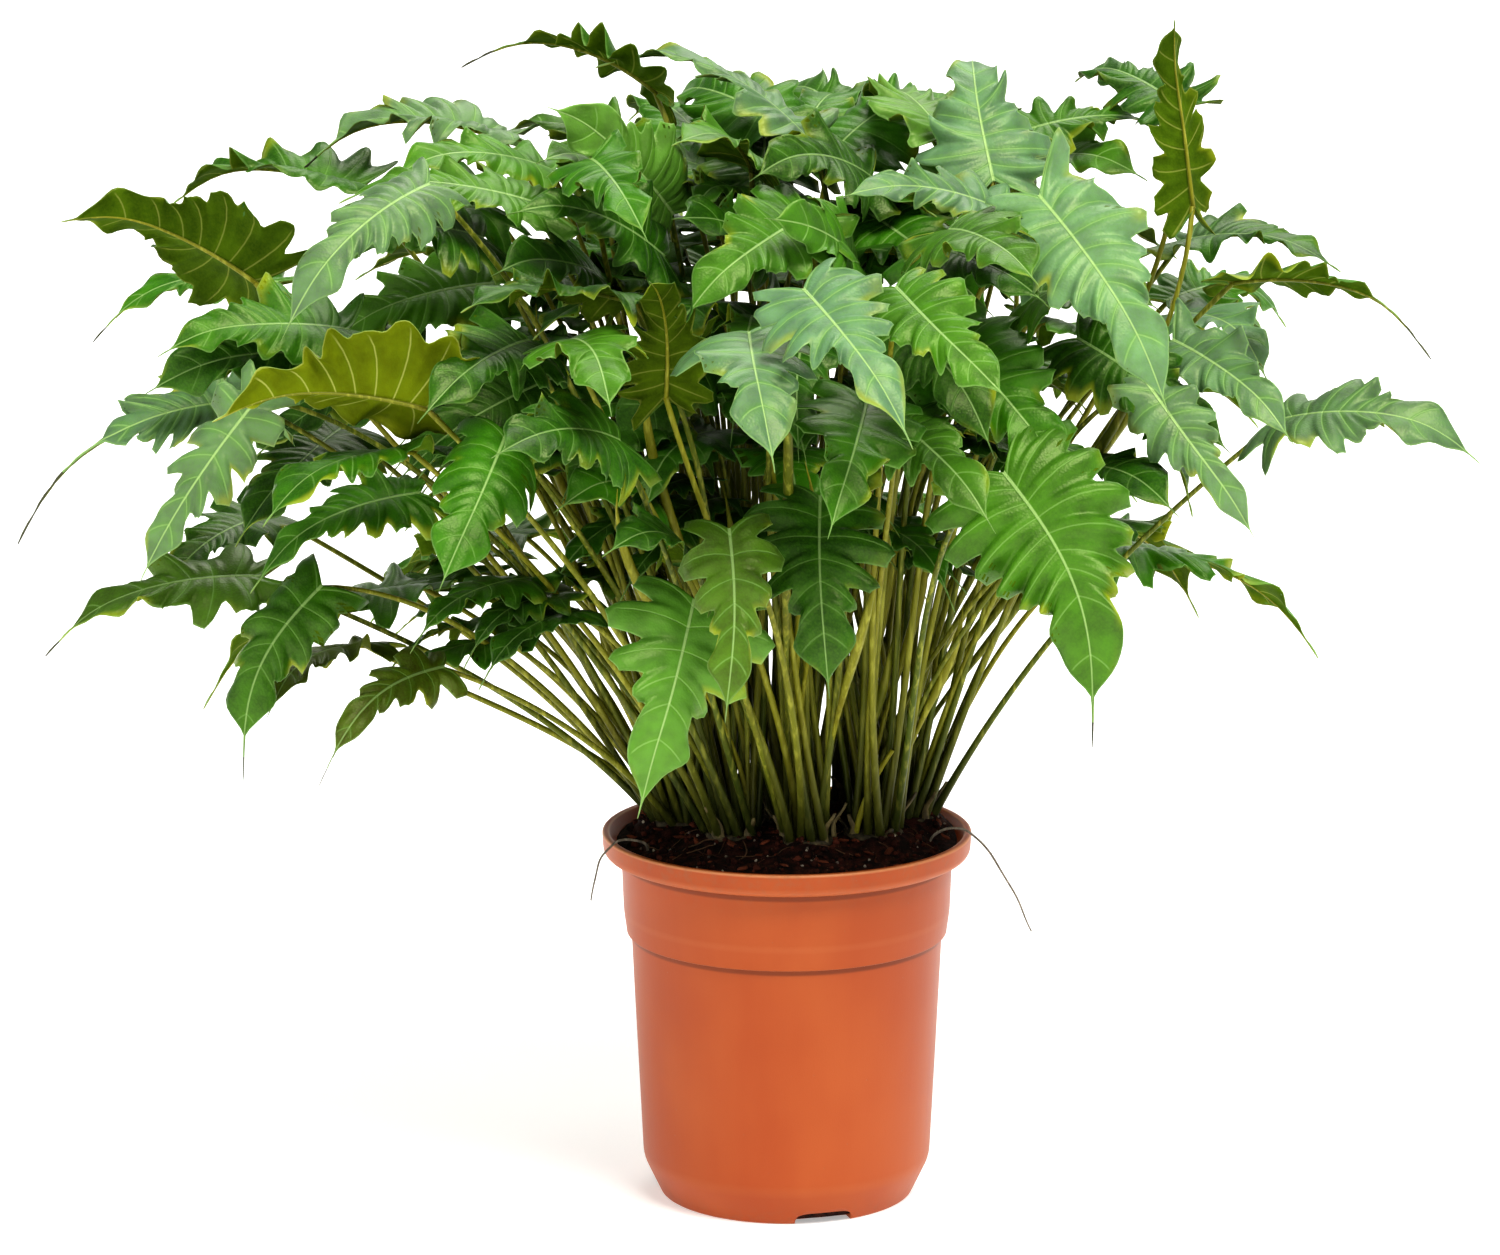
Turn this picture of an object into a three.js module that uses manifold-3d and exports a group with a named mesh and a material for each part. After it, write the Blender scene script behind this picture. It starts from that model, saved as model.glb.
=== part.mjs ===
// Split-leaf philodendron in a plastic nursery pot
//
// Millimetres, +Z up, and -Y is the front. The origin is the middle of the pot's flat underside.
// The pot is filled with peat. Nine short crowns are rooted in it, and each crown has grown its
// leaf stalks and deeply lobed blades as one body. Two loose roots hang over the rim.

import * as THREE from 'three';
import { mergeVertices } from 'three/addons/utils/BufferGeometryUtils.js';
import Module from 'manifold-3d';

const wasm = await Module();
wasm.setup();

const UP = new THREE.Vector3(0, 0, 1);
const MERGE_DISTANCE = 1e-4;

// Pot: outside radii and heights from the foot to the rim
const POT = {
  sides: 26,
  wall: 2,
  floor: 3,
  floorInset: 1,
  slant: 1,
  footRadius: 82.5,
  chamferRadius: 94,
  chamferHeight: 24,
  bodyRadius: 101.5,
  bodyHeight: 175,
  collarStepRadius: 106.5,
  collarStepHeight: 190,
  collarRadius: 108,
  rimFootHeight: 228,
  rimRadius: 120.5,
  rimEdge: 2,
  lipRadius: 116,
  height: 243,
};

// Drain notches at the foot
const NOTCH = { count: 3, width: 38, height: 8, depth: 24, firstAngle: -73 };

// Peat: heaped towards the middle from a little below the rim, in low swells round and across
const PEAT = {
  gap: 0.4,
  edgeHeight: 236,
  middleHeight: 246,
  rings: [1, 0.72, 0.42],
  swell: 1.6,
  slow: { waves: 3, pitch: 17 },
  quick: { waves: 5, pitch: 11 },
};

// Crowns: short thick stems, each in a plain hole in the peat
const CROWN = {
  sides: 8,
  radius: 21,
  bottom: 206,
  shoulder: 246,
  top: 250,
  topRadius: 18,
  holeGap: 0.5,
  stalkHeight: 245,
  ring: 17,
};

const CROWN_PLACES = {
  left: [-70, 12],
  front_left: [-34, -26],
  front: [12, -38],
  front_right: [56, -22],
  right: [78, 20],
  back_right: [48, 58],
  back: [-4, 72],
  back_left: [-52, 56],
  middle: [4, 14],
};

// Stalks: three-sided, leaving steeply and bending over towards their blades
const STALK = {
  radius: 3,
  steps: 4,
  rise: 0.45,
  bend: 0.6,
  under: 0.4,
  hold: 0.35,
  mouth: [[0.85, 0.1, 0.05], [0.3, 0.65, 0.05], [0.55, 0.25, 0.2]],
};

// Blades: how their lobes stand along the rib, in parts of the blade's length
const BLADE = {
  thickness: 0.8,
  fullWidth: 0.76,
  lobedPart: 0.5,
  crowding: 1.15,
  lobes: 4,
  fewLobes: 3,
  shortLength: 150,
  endAngle: 45,
  stalkAngle: 150,
  angleFall: 1.4,
  leastReach: 0.25,
  moreReach: 0.14,
  reachLean: 0.8,
  cut: 0.5,
  broadPart: 0.35,
  endWidth: 0.165,
  dripWidth: 0.012,
  keel: 0.2,
  roll: 0.34,
  wave: 0.035,
  waveTurn: 2.4,
  usualLength: 140,
  catchUp: 0.6,
  backwardPart: 0.6,
};

// The eye of the front view. A leaf's base and tip are set out as this eye sees them: across and
// up in the plane through the pot's axis, then how far behind that plane they lie.
const EYE = new THREE.Vector3(0, -4000, 1262);

// Leaves of each crown: base and tip as [across, up, depth], lean in degrees from facing up
// towards facing the front, turn of that facing about the upright, width and arch in parts of
// the length, and the length of a drawn-out tip
const LEAVES = {
  left: [
    { base: [-344, 605, -40], tip: [-458, 653, -60], lean: -55, width: 0.8, arch: 0.1 },
    { base: [-340, 600, 30], tip: [-438, 576, 20], lean: 10, width: 0.5, arch: 0.12, drip: 20 },
    { base: [-293, 572, -90], tip: [-395, 567, -130], lean: 25, width: 0.7, arch: 0.08 },
    { base: [-290, 552, -90], tip: [-408, 537, -120], lean: 35, width: 0.7, arch: 0.1 },
    { base: [-344, 526, -60], tip: [-499, 447, -90], lean: 40, width: 0.5, arch: 0.12, drip: 72 },
    { base: [-340, 411, -30], tip: [-482, 371, -50], lean: 30, width: 0.6, arch: 0.08, drip: 20 },
    { base: [-304, 397, -90], tip: [-352, 285, -110], lean: 60, width: 0.8, arch: 0.08, drip: 20 },
    { base: [-283, 360, -10], tip: [-331, 336, -80], lean: -20, width: 0.6, arch: 0.08 },
    { base: [-233, 341, -90], tip: [-296, 283, -150], lean: 70, width: 0.5, arch: 0.1 },
    { base: [-295, 500, 10], tip: [-350, 447, -60], lean: 35, width: 0.8, arch: 0.1 },
    { base: [-339, 444, 60], tip: [-399, 407, -10], lean: 25, width: 0.6, arch: 0.1 },
    { base: [-240, 556, 10], tip: [-338, 500, -30], lean: 45, width: 0.75, arch: 0.08 },
  ],
  front_left: [
    { base: [-231, 521, -190], tip: [-370, 523, -230], lean: -65, width: 0.72, arch: 0.06 },
    { base: [-186, 493, -200], tip: [-221, 414, -270], lean: 80, width: 0.8, arch: 0.08 },
    { base: [-341, 526, -150], tip: [-417, 413, -180], lean: 60, width: 0.6, arch: 0.08 },
    { base: [-250, 490, -150], tip: [-334, 460, -220], lean: -20, width: 0.8, arch: 0.08 },
    { base: [-250, 460, -90], tip: [-339, 420, -130], lean: 35, width: 0.6, arch: 0.08 },
    { base: [-229, 666, -160], tip: [-324, 578, -240], lean: 45, width: 0.7, arch: 0.12 },
    { base: [-172, 656, -60], tip: [-277, 668, -90], lean: 30, width: 0.65, arch: 0.08 },
    { base: [-108, 592, -150], tip: [-204, 592, -220], lean: -15, width: 0.8, arch: 0.06 },
    { base: [-172, 562, -140], tip: [-229, 529, -230], lean: 50, width: 0.8, arch: 0.08 },
    { base: [-114, 500, -220], tip: [-182, 496, -310], lean: 55, width: 0.8, arch: 0.08 },
    { base: [-204, 631, -60], tip: [-287, 624, -130], lean: 40, width: 0.8, arch: 0.08 },
    { base: [-150, 540, -30], tip: [-246, 486, -80], lean: 50, width: 0.8, arch: 0.08 },
  ],
  front: [
    { base: [-62, 389, -180], tip: [-96, 265, -215], lean: 75, width: 0.78, arch: 0.08 },
    { base: [-38, 420, -220], tip: [-40, 335, -250], lean: 60, width: 0.6, arch: 0.08 },
    { base: [-23, 563, -210], tip: [-10, 500, -300], lean: 55, width: 0.8, arch: 0.1 },
    { base: [15, 593, -230], tip: [75, 517, -310], lean: 60, width: 0.72, arch: 0.06 },
    { base: [11, 559, -110], tip: [8, 506, -190], lean: 60, width: 0.6, arch: 0.08 },
    { base: [48, 516, -200], tip: [30, 453, -280], lean: 75, width: 0.8, arch: 0.08 },
    { base: [22, 450, -165], tip: [27, 349, -215], lean: 75, width: 0.85, arch: 0.08 },
    { base: [-137, 562, -190], tip: [-117, 531, -285], lean: 50, width: 0.7, arch: 0.08 },
    { base: [-89, 460, -60], tip: [-137, 470, -150], lean: 50, width: 0.8, arch: 0.08 },
    { base: [-63, 420, -160], tip: [-105, 440, -240], lean: 45, width: 0.8, arch: 0.08 },
    { base: [-79, 536, -140], tip: [-88, 605, -210], lean: -75, width: 0.55, arch: 0.08 },
  ],
  front_right: [
    { base: [139, 480, -190], tip: [190, 306, -240], lean: 65, width: 0.66, arch: 0.07, drip: 25 },
    { base: [78, 506, -170], tip: [127, 460, -250], lean: 50, width: 0.6, arch: 0.08 },
    { base: [78, 592, -220], tip: [136, 536, -290], lean: 55, width: 0.65, arch: 0.08 },
    { base: [160, 660, -130], tip: [246, 533, -210], lean: 55, width: 0.66, arch: 0.06 },
    { base: [72, 572, -120], tip: [126, 513, -190], lean: 50, width: 0.8, arch: 0.08 },
    { base: [97, 624, -90], tip: [161, 599, -170], lean: 45, width: 0.8, arch: 0.08 },
    { base: [174, 592, -100], tip: [232, 572, -190], lean: 40, width: 0.8, arch: 0.08 },
    { base: [110, 634, -140], tip: [155, 612, -225], lean: 50, width: 0.8, arch: 0.08 },
    { base: [136, 647, -40], tip: [40, 663, -90], lean: 30, width: 0.5, arch: 0.08 },
    { base: [112, 560, -120], tip: [176, 484, -180], lean: 50, width: 0.8, arch: 0.08 },
  ],
  right: [
    { base: [257, 559, -80], tip: [318, 516, -150], lean: 50, width: 0.6, arch: 0.08 },
    { base: [321, 513, -90], tip: [440, 501, -120], lean: 20, width: 0.66, arch: 0.12 },
    { base: [238, 529, -120], tip: [299, 450, -150], lean: 50, width: 0.5, arch: 0.08 },
    { base: [185, 480, -80], tip: [243, 468, -160], lean: 30, width: 0.8, arch: 0.08 },
    { base: [206, 529, -70], tip: [262, 470, -130], lean: -30, width: 0.5, arch: 0.08 },
    { base: [174, 572, 40], tip: [238, 536, -20], lean: -30, width: 0.8, arch: 0.08 },
    { base: [257, 579, 50], tip: [302, 559, -30], lean: 20, width: 0.7, arch: 0.08 },
    { base: [289, 603, -50], tip: [411, 576, -70], lean: -20, width: 0.4, arch: 0.1, drip: 42 },
    { base: [196, 560, -90], tip: [280, 500, -130], lean: 45, width: 0.7, arch: 0.08 },
  ],
  back_right: [
    { base: [257, 656, 20], tip: [236, 778, 10], lean: -75, turn: 40, width: 0.6, arch: 0.06 },
    { base: [241, 720, 90], tip: [186, 741, 170], lean: 40, width: 0.6, arch: 0.08 },
    { base: [155, 679, 140], tip: [217, 685, 60], lean: 50, width: 0.8, arch: 0.08 },
    { base: [161, 701, 80], tip: [244, 701, 130], lean: 30, width: 0.4, arch: 0.12, drip: 42 },
    { base: [264, 629, 90], tip: [342, 623, 40], lean: 15, width: 0.7, arch: 0.08 },
    { base: [254, 592, 130], tip: [315, 592, 190], lean: 25, width: 0.6, arch: 0.08 },
    { base: [129, 682, 0], tip: [118, 751, 70], lean: 60, width: 0.8, arch: 0.08 },
    { base: [150, 626, 40], tip: [232, 592, -10], lean: 45, width: 0.75, arch: 0.08 },
  ],
  back: [
    { base: [-88, 727, 60], tip: [-202, 752, 90], lean: -10, width: 0.5, arch: 0.12, drip: 42 },
    { base: [40, 701, 180], tip: [-2, 730, 270], lean: 40, width: 0.8, arch: 0.08 },
  ],
  back_left: [
    { base: [-284, 666, 60], tip: [-384, 672, 70], lean: -10, width: 0.6, arch: 0.08 },
    { base: [-181, 695, 80], tip: [-312, 688, 60], lean: 10, width: 0.55, arch: 0.12, drip: 26 },
    { base: [-159, 676, 20], tip: [-247, 681, -40], lean: 20, width: 0.65, arch: 0.08 },
    { base: [-120, 663, 10], tip: [-151, 690, -70], lean: 40, width: 0.7, arch: 0.08 },
    { base: [-196, 600, 40], tip: [-300, 566, 0], lean: 40, width: 0.75, arch: 0.08 },
    { base: [-200, 650, 0], tip: [-300, 622, -40], lean: 40, width: 0.7, arch: 0.08 },
  ],
  middle: [
    { base: [20, 688, 10], tip: [-117, 760, 70], lean: -10, width: 0.5, arch: 0.1 },
    { base: [-18, 711, 80], tip: [-66, 727, 160], lean: 40, width: 0.7, arch: 0.08 },
    { base: [-17, 676, 40], tip: [-15, 715, 120], lean: -30, width: 0.7, arch: 0.08 },
    { base: [-28, 679, -10], tip: [-63, 701, -90], lean: 45, width: 0.8, arch: 0.08 },
    { base: [46, 672, 0], tip: [-15, 679, -80], lean: 50, width: 0.8, arch: 0.08 },
    { base: [94, 701, 40], tip: [56, 728, 130], lean: -40, width: 0.8, arch: 0.08 },
    { base: [113, 666, 40], tip: [97, 702, 120], lean: -20, width: 0.6, arch: 0.08 },
    { base: [-18, 618, -20], tip: [-63, 647, -100], lean: 50, width: 0.8, arch: 0.08 },
    { base: [40, 618, -60], tip: [-5, 647, -140], lean: 55, width: 0.8, arch: 0.08 },
    { base: [-82, 656, -30], tip: [-146, 718, -70], lean: 60, width: 0.8, arch: 0.08 },
    { base: [-88, 624, -70], tip: [-168, 656, -130], lean: 50, width: 0.6, arch: 0.08 },
    { base: [-120, 605, -30], tip: [-184, 618, -120], lean: 45, width: 0.7, arch: 0.08 },
    { base: [-36, 566, -20], tip: [-110, 500, -80], lean: 55, width: 0.8, arch: 0.08 },
    { base: [62, 640, 0], tip: [126, 588, -60], lean: 50, width: 0.75, arch: 0.08 },
    { base: [4, 640, -90], tip: [-60, 596, -160], lean: 50, width: 0.75, arch: 0.08 },
    { base: [-120, 676, -110], tip: [-95, 644, -190], lean: 50, width: 0.6, arch: 0.08 },
  ],
};

// Leaves that the front view hides: tiers round the back, each a row of leaves over a range of
// angles counted from +X towards +Y, with radii, heights and widths that vary in a fixed order.
// Up to each angle, they grow from the crown named with it.
const TIER_CENTRE = [-15, 30];
const TIERS = [
  { leaves: 6, from: 4, to: 176, radius: [225, 375], height: [410, 345], lean: 30, drip: 14 },
  { leaves: 6, from: 18, to: 162, radius: [190, 345], height: [515, 480], lean: 25, drip: 14 },
  { leaves: 5, from: 25, to: 155, radius: [140, 295], height: [600, 600], lean: 20, drip: 14 },
  { leaves: 4, from: 45, to: 145, radius: [70, 215], height: [665, 690], lean: 15, drip: 14 },
];
const TIER_CROWNS = [['right', 25], ['back_right', 60], ['back', 115], ['back_left', 155], ['left', 180]];
const TIER_VARY = { angle: 9, radius: 30, height: 34, width: 0.32, leastWidth: 0.66, arch: 0.1 };
const GOLDEN = 0.618034;
const GOLDEN_ANGLE = 2 * Math.PI * GOLDEN;

// Loose roots: from a plain hole in the peat over the rim, through points in the plant's own frame
const ROOT = { radius: 0.9, sides: 5, steps: 14, holeRadius: 2.4, holeSides: 8, holeBottom: 224 };
const ROOT_PATHS = {
  left: [
    [-90, -40, 226], [-90, -40, 241], [-100, -45, 247], [-111, -50, 246], [-121, -55, 234], [-126, -58, 210],
  ],
  right: [
    [94, -17, 226], [94, -17, 241], [104, -19, 248], [117, -21, 247], [131, -24, 234], [147, -27, 208],
    [159, -29, 182],
  ],
};

const COLOURS = { pot: 0xc4602c, peat: 0x2a1c15, foliage: 0x3f7a2c, root: 0x6a5a4c };

// Solids and their geometry

function toSolid(geometry) {
  const bare = geometry.clone();
  bare.deleteAttribute('normal');
  bare.deleteAttribute('uv');
  const merged = mergeVertices(bare, MERGE_DISTANCE);
  const corners = merged.index.array;
  const kept = [];
  for (let i = 0; i < corners.length; i += 3) {
    const [a, b, c] = corners.slice(i, i + 3);
    if (a !== b && b !== c && c !== a) kept.push(a, b, c);
  }
  return new wasm.Manifold(new wasm.Mesh({
    numProp: 3,
    vertProperties: Float32Array.from(merged.attributes.position.array),
    triVerts: Uint32Array.from(kept),
  }));
}

function toGeometry(solid) {
  const mesh = solid.getMesh();
  const geometry = new THREE.BufferGeometry();
  geometry.setAttribute('position', new THREE.BufferAttribute(mesh.vertProperties, 3));
  geometry.setIndex(new THREE.BufferAttribute(mesh.triVerts, 1));
  geometry.computeVertexNormals();
  return geometry;
}

function turned(profile, sides) {
  const points = profile.map(([radius, height]) => new THREE.Vector2(radius, height));
  return toSolid(new THREE.LatheGeometry(points, sides).rotateX(Math.PI / 2));
}

function piece(name, solid, colour, roughness) {
  const material = new THREE.MeshStandardMaterial({ color: colour, roughness, metalness: 0 });
  const mesh = new THREE.Mesh(toGeometry(solid), material);
  mesh.name = name;
  return mesh;
}

// Pot

function potInside(gap) {
  const shrink = POT.wall + gap;
  return [
    [POT.footRadius - POT.floorInset - gap, POT.floor + gap],
    [POT.chamferRadius - shrink, POT.chamferHeight + POT.slant],
    [POT.bodyRadius - shrink, POT.bodyHeight],
    [POT.collarStepRadius - shrink, POT.collarStepHeight + POT.slant],
    [POT.collarRadius - shrink, POT.rimFootHeight],
  ];
}

function makePot() {
  const wall = turned([
    [0, 0],
    [POT.footRadius, 0],
    [POT.chamferRadius, POT.chamferHeight],
    [POT.bodyRadius, POT.bodyHeight],
    [POT.collarStepRadius, POT.collarStepHeight],
    [POT.collarRadius, POT.rimFootHeight],
    [POT.rimRadius, POT.rimFootHeight],
    [POT.rimRadius, POT.height - POT.rimEdge],
    [POT.rimRadius - POT.rimEdge, POT.height],
    [POT.lipRadius, POT.height],
    ...potInside(0).reverse(),
    [0, POT.floor],
  ], POT.sides);
  let pot = wall;
  for (let i = 0; i < NOTCH.count; i += 1) {
    const angle = THREE.MathUtils.degToRad(NOTCH.firstAngle + (i * 360) / NOTCH.count);
    const notch = new THREE.BoxGeometry(NOTCH.depth, NOTCH.width, 2 * NOTCH.height);
    notch.translate(POT.footRadius, 0, 0).rotateZ(angle);
    pot = pot.subtract(toSolid(notch));
  }
  return pot;
}

// Peat

function peatSwell(radius, angle) {
  const slow = Math.sin(PEAT.slow.waves * angle + radius / PEAT.slow.pitch);
  const quick = Math.cos(PEAT.quick.waves * angle - radius / PEAT.quick.pitch);
  return PEAT.swell * slow * quick;
}

function makePeat(holes) {
  const wall = potInside(PEAT.gap);
  const lipPart = (PEAT.edgeHeight - POT.rimFootHeight) / (POT.height - POT.rimFootHeight);
  const edge = THREE.MathUtils.lerp(wall.at(-1)[0], POT.lipRadius - PEAT.gap, lipPart);
  const rise = PEAT.middleHeight - PEAT.edgeHeight;
  const top = PEAT.rings.map((part) => [edge * part, PEAT.edgeHeight + rise * (1 - part * part)]);
  const profile = [[0, POT.floor + PEAT.gap], ...wall, ...top, [0, PEAT.middleHeight]];
  const points = profile.map(([radius, height]) => new THREE.Vector2(radius, height));
  const geometry = new THREE.LatheGeometry(points, POT.sides).rotateX(Math.PI / 2);
  const place = geometry.attributes.position;
  for (let i = 0; i < place.count; i += 1) {
    const radius = Math.hypot(place.getX(i), place.getY(i));
    const onTop = place.getZ(i) > PEAT.edgeHeight && radius > 1 && radius < edge - 1;
    if (onTop) {
      const angle = (2 * Math.PI * Math.floor(i / profile.length)) / POT.sides;
      place.setZ(i, place.getZ(i) + peatSwell(radius, angle));
    }
  }
  let peat = toSolid(geometry);
  for (const hole of holes) peat = peat.subtract(hole);
  return peat;
}

// Crowns and the plain holes that they stand in

function crownStem([x, y]) {
  const stem = turned([
    [0, CROWN.bottom],
    [CROWN.radius, CROWN.bottom],
    [CROWN.radius, CROWN.shoulder],
    [CROWN.topRadius, CROWN.top],
    [0, CROWN.top],
  ], CROWN.sides);
  return stem.translate([x, y, 0]);
}

function crownHole([x, y]) {
  const radius = CROWN.radius + CROWN.holeGap;
  const bottom = CROWN.bottom - CROWN.holeGap;
  const hole = turned([[0, bottom], [radius, bottom], [radius, CROWN.top], [0, CROWN.top]], CROWN.sides);
  return hole.translate([x, y, 0]);
}

// Loose roots and their holes

function rootStrand(route) {
  const path = new THREE.CatmullRomCurve3(route.map((point) => new THREE.Vector3(...point)));
  const section = new THREE.Shape();
  section.setFromPoints(Array.from({ length: ROOT.sides }, (_, i) => {
    const angle = (i * 2 * Math.PI) / ROOT.sides;
    return new THREE.Vector2(ROOT.radius * Math.cos(angle), ROOT.radius * Math.sin(angle));
  }));
  return toSolid(new THREE.ExtrudeGeometry(section, { steps: ROOT.steps, extrudePath: path }));
}

function rootHole([[x, y]]) {
  const profile = [
    [0, ROOT.holeBottom],
    [ROOT.holeRadius, ROOT.holeBottom],
    [ROOT.holeRadius, POT.height],
    [0, POT.height],
  ];
  return turned(profile, ROOT.holeSides).translate([x, y, 0]);
}

// Leaf frame: the rib's curve and the directions across and out of the blade along it

function seenPoint([across, up, depth]) {
  const seen = new THREE.Vector3(across, 0, up);
  return seen.sub(EYE).multiplyScalar(1 + depth / Math.abs(EYE.y)).add(EYE);
}

function leaning(lean, turn) {
  const down = THREE.MathUtils.degToRad(lean);
  const round = THREE.MathUtils.degToRad(turn);
  return new THREE.Vector3(
    Math.sin(down) * Math.sin(round), -Math.sin(down) * Math.cos(round), Math.cos(down),
  );
}

// A leaf that others partly hide runs on, mostly backwards, towards the usual length
function frontLeaf(row) {
  const facing = leaning(row.lean, row.turn ?? 0);
  const base = seenPoint(row.base);
  const tip = seenPoint(row.tip);
  const axis = tip.clone().sub(base).normalize();
  const extra = BLADE.catchUp * Math.max(0, BLADE.usualLength - base.distanceTo(tip));
  base.addScaledVector(axis, -BLADE.backwardPart * extra);
  tip.addScaledVector(axis, (1 - BLADE.backwardPart) * extra);
  return { ...row, base, tip, facing };
}

function varied(seed, spread) {
  return spread * (((seed * GOLDEN) % 1) - 0.5);
}

function tierLeaves(tier, tierNumber) {
  const leaves = [];
  for (let i = 0; i < tier.leaves; i += 1) {
    const seed = 7 * tierNumber + i + 1;
    const step = (tier.to - tier.from) / (tier.leaves - 1);
    const angle = tier.from + step * i + varied(seed, TIER_VARY.angle);
    const round = THREE.MathUtils.degToRad(angle);
    const lift = varied(3 * seed, TIER_VARY.height);
    const [base, tip] = [0, 1].map((end) => {
      const radius = tier.radius[end] + varied(2 * seed, TIER_VARY.radius);
      return new THREE.Vector3(
        TIER_CENTRE[0] + radius * Math.cos(round),
        TIER_CENTRE[1] + radius * Math.sin(round),
        tier.height[end] + lift,
      );
    });
    leaves.push({
      base,
      tip,
      facing: leaning(tier.lean, angle + 90),
      lean: tier.lean,
      width: TIER_VARY.leastWidth + Math.abs(varied(5 * seed, TIER_VARY.width)),
      arch: TIER_VARY.arch,
      drip: tier.drip,
    });
  }
  return leaves;
}

function leafFrame(leaf) {
  const { base, tip } = leaf;
  const axis = tip.clone().sub(base).normalize();
  const length = base.distanceTo(tip);
  const facing = leaf.facing.clone().addScaledVector(axis, -leaf.facing.dot(axis)).normalize();
  const crest = base.clone().lerp(tip, 0.5).addScaledVector(facing, 2 * leaf.arch * length);
  const rib = new THREE.QuadraticBezierCurve3(base, crest, tip);
  return { base, axis, length, facing, rib, spot: leaf.spot };
}

// A point of the blade: along and across are parts of its length, and the blade rises from its
// rib as a shallow keel that rolls down again towards the edge
function bladePoint(frame, along, across, ripple) {
  const inside = Math.max(along, 0);
  const tangent = frame.rib.getTangent(inside);
  const out = frame.facing.clone().addScaledVector(tangent, -frame.facing.dot(tangent)).normalize();
  const side = tangent.clone().cross(out);
  const reach = Math.abs(across);
  const height = BLADE.keel * reach - BLADE.roll * reach * reach + ripple;
  const point = frame.rib.getPoint(inside);
  point.addScaledVector(tangent, (along - inside) * frame.length);
  point.addScaledVector(side, across * frame.length);
  point.addScaledVector(out, height * frame.length);
  return { point, out };
}

// The outline at a place counted in lobes from the stalk: a ray from the rib that turns from
// backward at the stalk to forward at the end lobe, long in a lobe and short in a cut
function lobeRay(place, lobes, width) {
  const part = place / lobes;
  const from = BLADE.lobedPart * part ** BLADE.crowding;
  const turnBack = (BLADE.stalkAngle - BLADE.endAngle) * (1 - part) ** BLADE.angleFall;
  const angle = THREE.MathUtils.degToRad(BLADE.endAngle + turnBack);
  const envelope = BLADE.leastReach + BLADE.moreReach * Math.sin(Math.PI * part ** BLADE.reachLean);
  const inCut = Math.cos(Math.PI * place) ** 2;
  const reach = envelope * (1 - BLADE.cut * inCut);
  return {
    from,
    along: from + reach * Math.cos(angle),
    across: reach * Math.sin(angle) * (width / BLADE.fullWidth),
  };
}

// Blade: the rib and both lobed sides as one thin sheet, its two faces split alike. The lower
// face is left open by one small triangle beside the rib's root, where the stalk goes on.

function addBlade(shape, leaf, frame) {
  const lobes = frame.length < BLADE.shortLength ? BLADE.fewLobes : BLADE.lobes;
  const tops = [];
  const outs = [];
  const add = (along, across, ripple = 0) => {
    const { point, out } = bladePoint(frame, along, across, ripple);
    tops.push(point);
    outs.push(out);
    return tops.length - 1;
  };
  const rays = [];
  for (let half = 1; half <= 2 * lobes; half += 1) rays.push(lobeRay(half / 2, lobes, leaf.width));
  const cuts = rays.filter((ray, i) => i % 2 === 1);
  const endStart = cuts.at(-1).along;
  const endLength = 1 - (leaf.drip ?? 0) / frame.length - endStart;
  const broadPlace = endStart + BLADE.broadPart * endLength;
  const rib = [0, ...cuts.map((ray) => ray.from), broadPlace, 1].map((along) => add(along, 0));
  const faces = [];
  const outline = [];
  for (const side of [1, -1]) {
    const edge = rays.map((ray, i) => {
      const ripple = i % 2 ? 0 : BLADE.wave * Math.sin(BLADE.waveTurn * i + leaf.lean);
      return add(ray.along, side * ray.across, ripple);
    });
    const broad = add(broadPlace, side * BLADE.endWidth * (leaf.width / BLADE.fullWidth));
    const line = [...edge, broad];
    const half = [[rib[0], edge[0], rib[1]], [rib[1], edge[0], edge[1]]];
    for (let i = 1; i < lobes; i += 1) {
      const [cutBefore, lobe, cutAfter] = edge.slice(2 * i - 1, 2 * i + 2);
      half.push([rib[i], cutBefore, lobe], [rib[i], lobe, rib[i + 1]], [rib[i + 1], lobe, cutAfter]);
    }
    half.push([rib[lobes], edge.at(-1), broad], [rib[lobes], broad, rib[lobes + 1]]);
    let last = broad;
    if (leaf.drip) {
      last = add(endStart + endLength, side * BLADE.dripWidth);
      line.push(last);
      half.push([rib[lobes + 1], broad, last]);
    }
    half.push([rib[lobes + 1], last, rib[lobes + 2]]);
    outline.push(side > 0 ? line : line.reverse());
    faces.push(...(side > 0 ? half : half.map(([a, b, c]) => [a, c, b])));
  }
  const count = tops.length;
  const bottoms = tops.map((top, i) => top.clone().addScaledVector(outs[i], -BLADE.thickness));
  shape.points.push(...tops, ...bottoms);
  for (const [a, b, c] of faces) shape.index.push(a, b, c);
  for (const [a, b, c] of faces.slice(1)) shape.index.push(a + count, c + count, b + count);
  const rim = [rib[0], ...outline[0], rib.at(-1), ...outline[1]];
  rim.forEach((a, i) => {
    const b = rim[(i + 1) % rim.length];
    shape.index.push(a, a + count, b + count, a, b + count, b);
  });
  const [root, lobe, next] = faces[0];
  return [root + count, next + count, lobe + count];
}

// Stalk: three-sided, from the small opening under the blade down to its crown

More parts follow.
